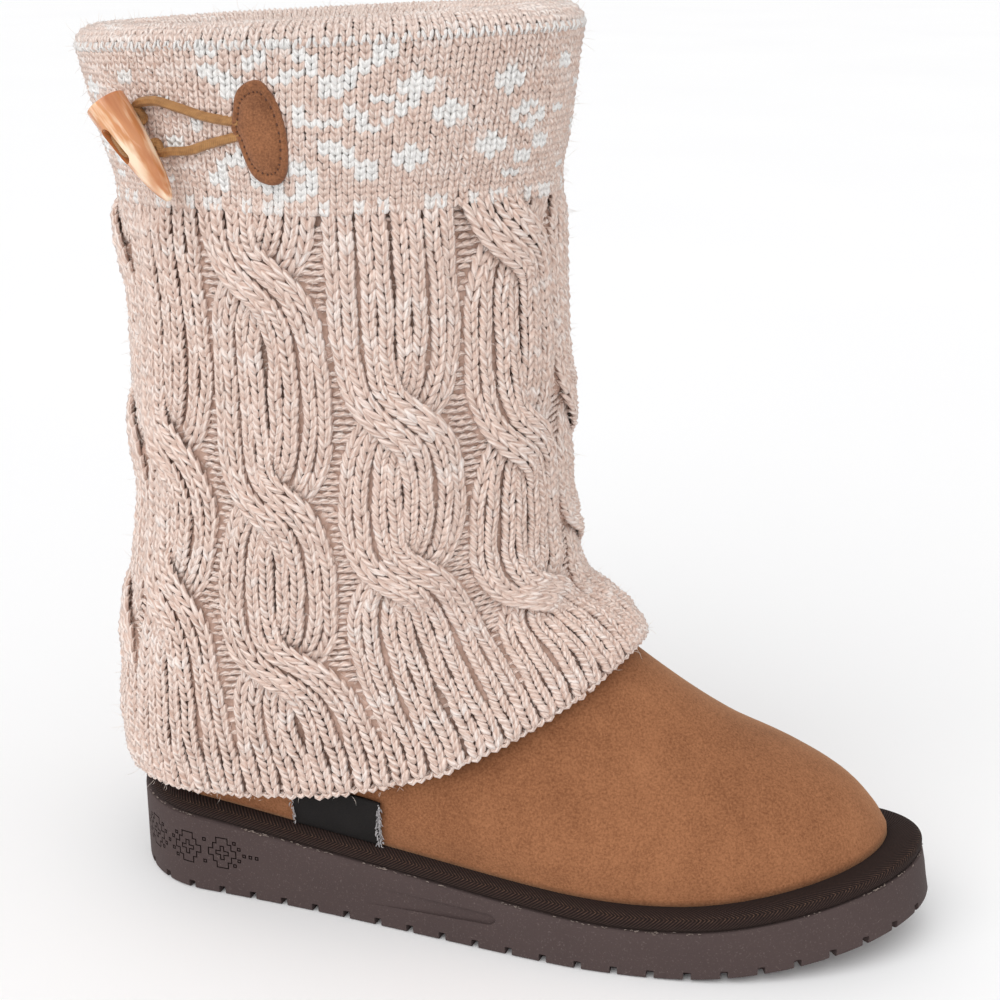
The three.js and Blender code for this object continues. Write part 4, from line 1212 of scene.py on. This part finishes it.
radii = BAND_YARN * LEG_RADII[None, :] * (1 + 0.06 * jitter[:, 3:] - 0.4 * on_rim)
leg_fleck = stitch_fleck[course[:, 0], wale[:, 0]]
outside = course[:, 0] < rim_course
for name, part in (("patterned_band", outside), ("collar_facing", ~outside)):
    mesh = yarn_mesh(name, knit_finish, centres[part], radii[part], outward[part], 4,
                     white=leg_white[part], fleck=leg_fleck[part])
    ride_piece(name, mesh)


# Fuzz: loose fibre ends of the yarn that stand off the whole sleeve, as on a brushed knit. They keep off
# the place where the patch, the cord and the toggle lie on it.
FUZZ_ROOTS = 9500
FUZZ_LONG, FUZZ_RADIUS = 2.4, 0.05
FUZZ_OVER_RIM, FUZZ_PROUD = 14, 0.6
CLEAR_X, CLEAR_X_HALF = -80, 34
CLEAR_Z, CLEAR_Z_HALF = 252, 20

fuzz_finish = mottled("loose_fibre", 60, (225, 205, 190), (250, 246, 241),
                      Roughness=0.9, Sheen_Weight=0.3, Sheen_Roughness=0.5)
share = rng.uniform(0, 1, (FUZZ_ROOTS, 1))
up = rng.uniform(-0.5, RIM_UP + FUZZ_OVER_RIM, (FUZZ_ROOTS, 1))
root, outward = on_cloth(share, up, FUZZ_PROUD)
root_x, root_y, root_z = root[:, 0].T
clear = (root_y > 0) | (np.abs(root_x - CLEAR_X) > CLEAR_X_HALF) | (np.abs(root_z - CLEAR_Z) > CLEAR_Z_HALF)
root, outward = root[clear], outward[clear]
fibres = len(root)
shares = np.linspace(0, 1, 4)[None, :, None]
drift = rng.normal(0, 0.75, (fibres, 1, 3))
bend = rng.normal(0, 0.5, (fibres, 1, 3))
length = FUZZ_LONG * rng.uniform(0.4, 1.2, (fibres, 1, 1))
centres = root + (outward * 0.75 + drift) * shares * length + bend * shares**2 * length
radii = FUZZ_RADIUS * np.array([0, 1, 0.9, 0]) * np.ones((fibres, 1))
mesh = yarn_mesh("fibre_fuzz", fuzz_finish, centres, radii, outward, 3)
ride_piece("fibre_fuzz", mesh)


# Patch: an oval of the same hide with a pressed stitch line near its edge, sewn to the outer side of
# the collar. It holds both ends of the elastic.
PATCH_X, PATCH_Z = -56, 256.3
PATCH_PROUD, PATCH_THICK = 0.6, 2.0
PATCH_ROUND = 128
STITCHES, STITCH_AT, STITCH_PRESS = 34, 0.78, 0.035
THREAD_RADIUS, THREAD_SINK = 0.3, 0.28
# Points of one stitch, and all points of the seam from the start of one stitch to the next
STITCH_POINTS, STITCH_SPAN = (0, 1, 3, 5, 6), 16
# The patch's outline from its middle in mm, clockwise from the top; the point at the left meets the cord
PATCH_OUTLINE = (
    (-1.3, 14.4), (1.8, 13.9), (5.2, 9.2), (7.1, 2.8), (7.7, -3.4), (7.2, -9.6), (5.5, -13.2), (2.6, -14.4),
    (-1.2, -13.4), (-3.6, -11), (-5.4, -7), (-6.9, -2.2), (-8.6, 1), (-7.7, 5.6), (-6.8, 9.8), (-4.9, 12.6),
)


def patch_ring(share, proud, count=PATCH_ROUND):
    corners = np.array([*PATCH_OUTLINE[-2:], *PATCH_OUTLINE, *PATCH_OUTLINE[:3]])
    around = 2 + np.arange(count) / count * len(PATCH_OUTLINE)
    across, up = table_curve(range(len(corners)), corners, around).T * share
    return on_form_side(SLEEVE_FORM, PATCH_X + across, PATCH_Z + up, proud)


top = PATCH_PROUD + PATCH_THICK
steps = (
    (0.02, top), (0.4, top + 0.1), (0.72, top + 0.05), (STITCH_AT - STITCH_PRESS, top - 0.15),
    (STITCH_AT, top - 0.4), (STITCH_AT + STITCH_PRESS, top - 0.15), (0.9, top), (0.96, top - 0.15),
    (0.99, top - 0.5), (1, top - 1.0), (0.985, PATCH_PROUD), (0.9, PATCH_PROUD - 0.2),
    (0.02, PATCH_PROUD - 0.2),
)
bm = loft([patch_ring(share, proud) for share, proud in steps])
close_ends(bm)

hide_finish, surface, paint = new_finish("brushed_hide", Roughness=0.8, Sheen_Weight=0.2, Sheen_Roughness=0.5,
                                         Specular_IOR_Level=0.25)
coords = paint.node("TexCoord", output=3)
grain = coords.noise(1500, 4, 0.7)
wash = coords.noise(90, 3)
tone = (grain * 0.9 + wash * 0.4).between(0.45, 0.88)
feed(surface, Base_Color=tone.mix(srgb(98, 58, 34), srgb(160, 106, 70)), Normal=bump(grain, 0.5, 0.25 * MM))
add_piece("hide_patch", bm, hide_finish, "patch")

thread_finish = mottled("sewing_thread", 800, (58, 30, 16), (98, 56, 32), Roughness=0.6)
seam = patch_ring(STITCH_AT, top - THREAD_SINK, STITCHES * STITCH_SPAN)
centres = seam[np.arange(STITCHES)[:, None] * STITCH_SPAN + np.array(STITCH_POINTS)]
radii = THREAD_RADIUS * np.array([0, 1, 1, 1, 0]) * np.ones((STITCHES, 1))
mesh = yarn_mesh("patch_stitches", thread_finish, centres, radii, (0, -1, 0), 6)
ride_piece("patch_stitches", mesh)


# Toggle: a turned tusk of horn-coloured resin, cut flat at its wide end and polished. A slot with two
# holes in its face takes the elastic.
TOGGLE_ALONG = (0, 0.03, 0.3, 0.6, 0.85, 0.96)
TOGGLE_RADII = (6.0, 6.0, 5.5, 4.4, 2.9, 1.7)
TOGGLE_SIDES, TOGGLE_LINES = 64, 60
HOLES_ALONG, HOLE_WIDE, SLOT_DEPTH, SLOT_ACROSS = (0.27, 0.5), 3.8, 3.2, 4.0
FLAT_ROUNDING = 0.25
TOOL_LONG = 40
# The middle of its flat end and its tip: x, z and mm out of the sleeve, and where its slot looks
TOGGLE_FLAT, TOGGLE_TIP = (-103.6, 263.3, 12.2), (-83.8, 236.8, 9)
TOGGLE_FACES = Vector((-0.5, -0.83, -0.22))

flat = Vector(on_form_side(SLEEVE_FORM, *TOGGLE_FLAT))
tip = Vector(on_form_side(SLEEVE_FORM, *TOGGLE_TIP))
toggle_long = (tip - flat).length
axis = (tip - flat).normalized()
face = (TOGGLE_FACES - axis * TOGGLE_FACES.dot(axis)).normalized()
toggle_turn = Matrix((axis.cross(face), axis, face)).transposed().to_4x4()
toggle_frame = Matrix.Translation(flat * MM) @ toggle_turn


def toggle_radius(share):
    body = table_curve(TOGGLE_ALONG, TOGGLE_RADII, np.minimum(share, 0.96))[..., 0]
    tip_round = round_off((1 - share) / 0.07 + 1e-4)
    flat_round = FLAT_ROUNDING * (1 - round_off(share * toggle_long / FLAT_ROUNDING + 1e-4))
    return (body - flat_round) * np.where(share > 0.93, tip_round, 1)


lines = (1 - np.cos(np.linspace(0.02, np.pi - 0.02, TOGGLE_LINES))) / 2
bm = bmesh.new()
chain = [bm.verts.new((float(toggle_radius(t)) * MM, float(t) * toggle_long * MM, 0)) for t in lines]
chain = [bm.verts.new((0, chain[0].co.y, 0)), *chain, bm.verts.new((0, toggle_long * MM, 0))]
edges = [bm.edges.new(pair) for pair in zip(chain, chain[1:])]
bmesh.ops.spin(bm, geom=edges + chain, cent=(0, 0, 0), axis=(0, 1, 0), angle=2 * math.pi, steps=TOGGLE_SIDES,
               use_merge=True)
bmesh.ops.remove_doubles(bm, verts=bm.verts[:], dist=0.005 * MM)
face_outward(bm)
tools = bmesh.new()
first, second = (share * toggle_long for share in HOLES_ALONG)
slot_floor = float(toggle_radius(HOLES_ALONG[1])) - SLOT_DEPTH
for along in (first, second):
    place = Matrix.Translation(Vector((0, along, 0)) * MM)
    bmesh.ops.create_cone(tools, cap_ends=True, segments=32, radius1=HOLE_WIDE / 2 * MM,
                          radius2=HOLE_WIDE / 2 * MM, depth=TOOL_LONG * MM, matrix=place)
slot_tool = bmesh.new()
place = Matrix.Translation(Vector((0, (first + second) / 2, slot_floor + TOOL_LONG / 4)) * MM)
box_tool(slot_tool, place, SLOT_ACROSS, second - first + SLOT_ACROSS, TOOL_LONG / 2)
upright = [e for e in slot_tool.edges if abs((e.verts[0].co - e.verts[1].co).normalized().z) > 0.9]
bmesh.ops.bevel(slot_tool, geom=upright, offset=SLOT_ACROSS * 0.48 * MM, segments=8, profile=0.5,
                affect="EDGES", material=-1)
bm = cut(cut(bm, tools), slot_tool)
bmesh.ops.transform(bm, matrix=toggle_frame, verts=bm.verts[:])

horn_finish, surface, paint = new_finish("polished_horn", Roughness=0.22, Coat_Weight=0.5,
                                         Coat_Roughness=0.08, Subsurface_Weight=0.12, Subsurface_Scale=0.004)
coords = paint.node("TexCoord", output=3)
tilt = axis.to_track_quat("Z", "Y").to_euler()
along_grain = paint.node("Mapping", {"vector_type": "TEXTURE"}, {"Vector": coords, "Rotation": tilt})
streaks = along_grain.stretched((1.0, 1.0, 0.16)).noise(260, 3, 0.55)
veins = along_grain.stretched((1.0, 1.0, 0.25)).noise(120, 2, 0.5)
amber = (veins * 0.6 + streaks * 0.5).between(0.35, 0.75).mix(srgb(166, 92, 44), srgb(226, 164, 112))
# Pale cream streaks along the grain: partly the resin's own streaks, partly a painted highlight.
cream_streak_and_highlight = streaks.between(0.48, 0.6) * veins.between(0.4, 0.52) * 0.85
feed(surface, Base_Color=cream_streak_and_highlight.mix(amber, srgb(247, 226, 198)), Roughness=0.18 + streaks * 0.12)
add_piece("horn_toggle", bm, horn_finish, "toggle", sharp=38)


# Elastic: a round braided cord that leaves the patch, runs behind the toggle, out and back through its
# two holes, and returns to the patch. It is held all the way by patch and toggle.
CORD_RADIUS = 1.4
CORD_PROUD = 1.9
CORD_END_APART, CORD_END_RAISE, CORD_END_UNDER = 3.6, 0.9, 2.5
# Stops of the cord over the sleeve: x, z and mm further out. Then shares along the toggle
CORD_TO_TOGGLE = ((-72.5, 260.2, 0), (-82, 262.4, 0.4), (-90, 263.8, 1.2))
CORD_FROM_TOGGLE = ((-86, 249.8, 1.0), (-79.5, 250.4, 0.2), (-72.5, 252.6, 0))
CORD_BEHIND = (0.14, 0.6)
CORD_BRIDGE = ((0.12, 0.4), (0.5, 0), (0.88, 0.4))
CORD_STEPS, CORD_SIDES = 300, 24
CORD_GROOVES, CORD_GROOVE_DEEP = 6, 0.17
BRAID_PITCH = 0.7


def in_toggle(share, out):
    return (toggle_frame @ (Vector((0, share * toggle_long, out)) * MM)) / MM


def behind(share):
    return -(float(toggle_radius(share)) + CORD_RADIUS + GAP)


bridge = slot_floor + CORD_RADIUS + GAP
patch_edge = PATCH_X - 8 - GAP * 2
end_x, end_z = patch_edge + CORD_END_UNDER, PATCH_Z + CORD_END_RAISE
ends = [on_form_side(SLEEVE_FORM, end_x, end_z + up * CORD_END_APART / 2, CORD_PROUD - 0.6) for up in (1, -1)]
stops = [ends[0]]
stops += [on_form_side(SLEEVE_FORM, x, z, CORD_PROUD + extra) for x, z, extra in CORD_TO_TOGGLE]
stops += [in_toggle(share, behind(share)) for share in (CORD_BEHIND[0], HOLES_ALONG[0])]
stops += [in_toggle(HOLES_ALONG[0], 0)]
stops += [in_toggle(np.interp(t, (0, 1), HOLES_ALONG), bridge - drop) for t, drop in CORD_BRIDGE]
stops += [in_toggle(HOLES_ALONG[1], 0)]
stops += [in_toggle(share, behind(share)) for share in (HOLES_ALONG[1], CORD_BEHIND[1])]
stops += [on_form_side(SLEEVE_FORM, x, z, CORD_PROUD + extra) for x, z, extra in CORD_FROM_TOGGLE]
stops += [ends[1]]
stops = np.array([np.array(stop, float) for stop in stops])
reach = np.concatenate([[0], np.cumsum(np.linalg.norm(np.diff(stops, axis=0), axis=1) ** 0.5)])
route = table_curve(reach, stops, np.linspace(0, reach[-1], CORD_STEPS))
ahead = np.gradient(route, axis=0)
ahead /= np.linalg.norm(ahead, axis=1, keepdims=True)
beside = np.zeros_like(route)
beside[0] = np.cross(ahead[0], (0, 0, 1.0))
for i in range(1, CORD_STEPS):
    beside[i] = beside[i - 1] - ahead[i] * beside[i - 1].dot(ahead[i])
    beside[i] /= np.linalg.norm(beside[i])
upward = np.cross(ahead, beside)
turn = 2 * np.pi * np.arange(CORD_SIDES) / CORD_SIDES
radius = CORD_RADIUS - CORD_GROOVE_DEEP * (1 + np.cos(CORD_GROOVES * turn))
spokes = np.cos(turn)[:, None] * beside[:, None] + np.sin(turn)[:, None] * upward[:, None]
bm = loft(route[:, None] + radius[:, None] * spokes)
close_ends(bm)

elastic_finish, surface, paint = new_finish("braided_elastic", Roughness=0.7, Sheen_Weight=0.2,
                                            Sheen_Roughness=0.4)
cord_round, cord_along = paint.node("TexCoord", output=2).split()
braid = ((cord_along + cord_round * 0.6) * (2 * math.pi / BRAID_PITCH)).wave()
wear = paint.node("TexCoord", output=3).noise(500, 3)
tone = (braid * 0.25 + wear * 0.8).between(0.2, 0.85)
feed(surface, Base_Color=tone.mix(srgb(120, 78, 38), srgb(186, 137, 82)), Normal=bump(braid, 0.25, 0.15 * MM))
add_piece("elastic_loop", bm, elastic_finish, "loop")
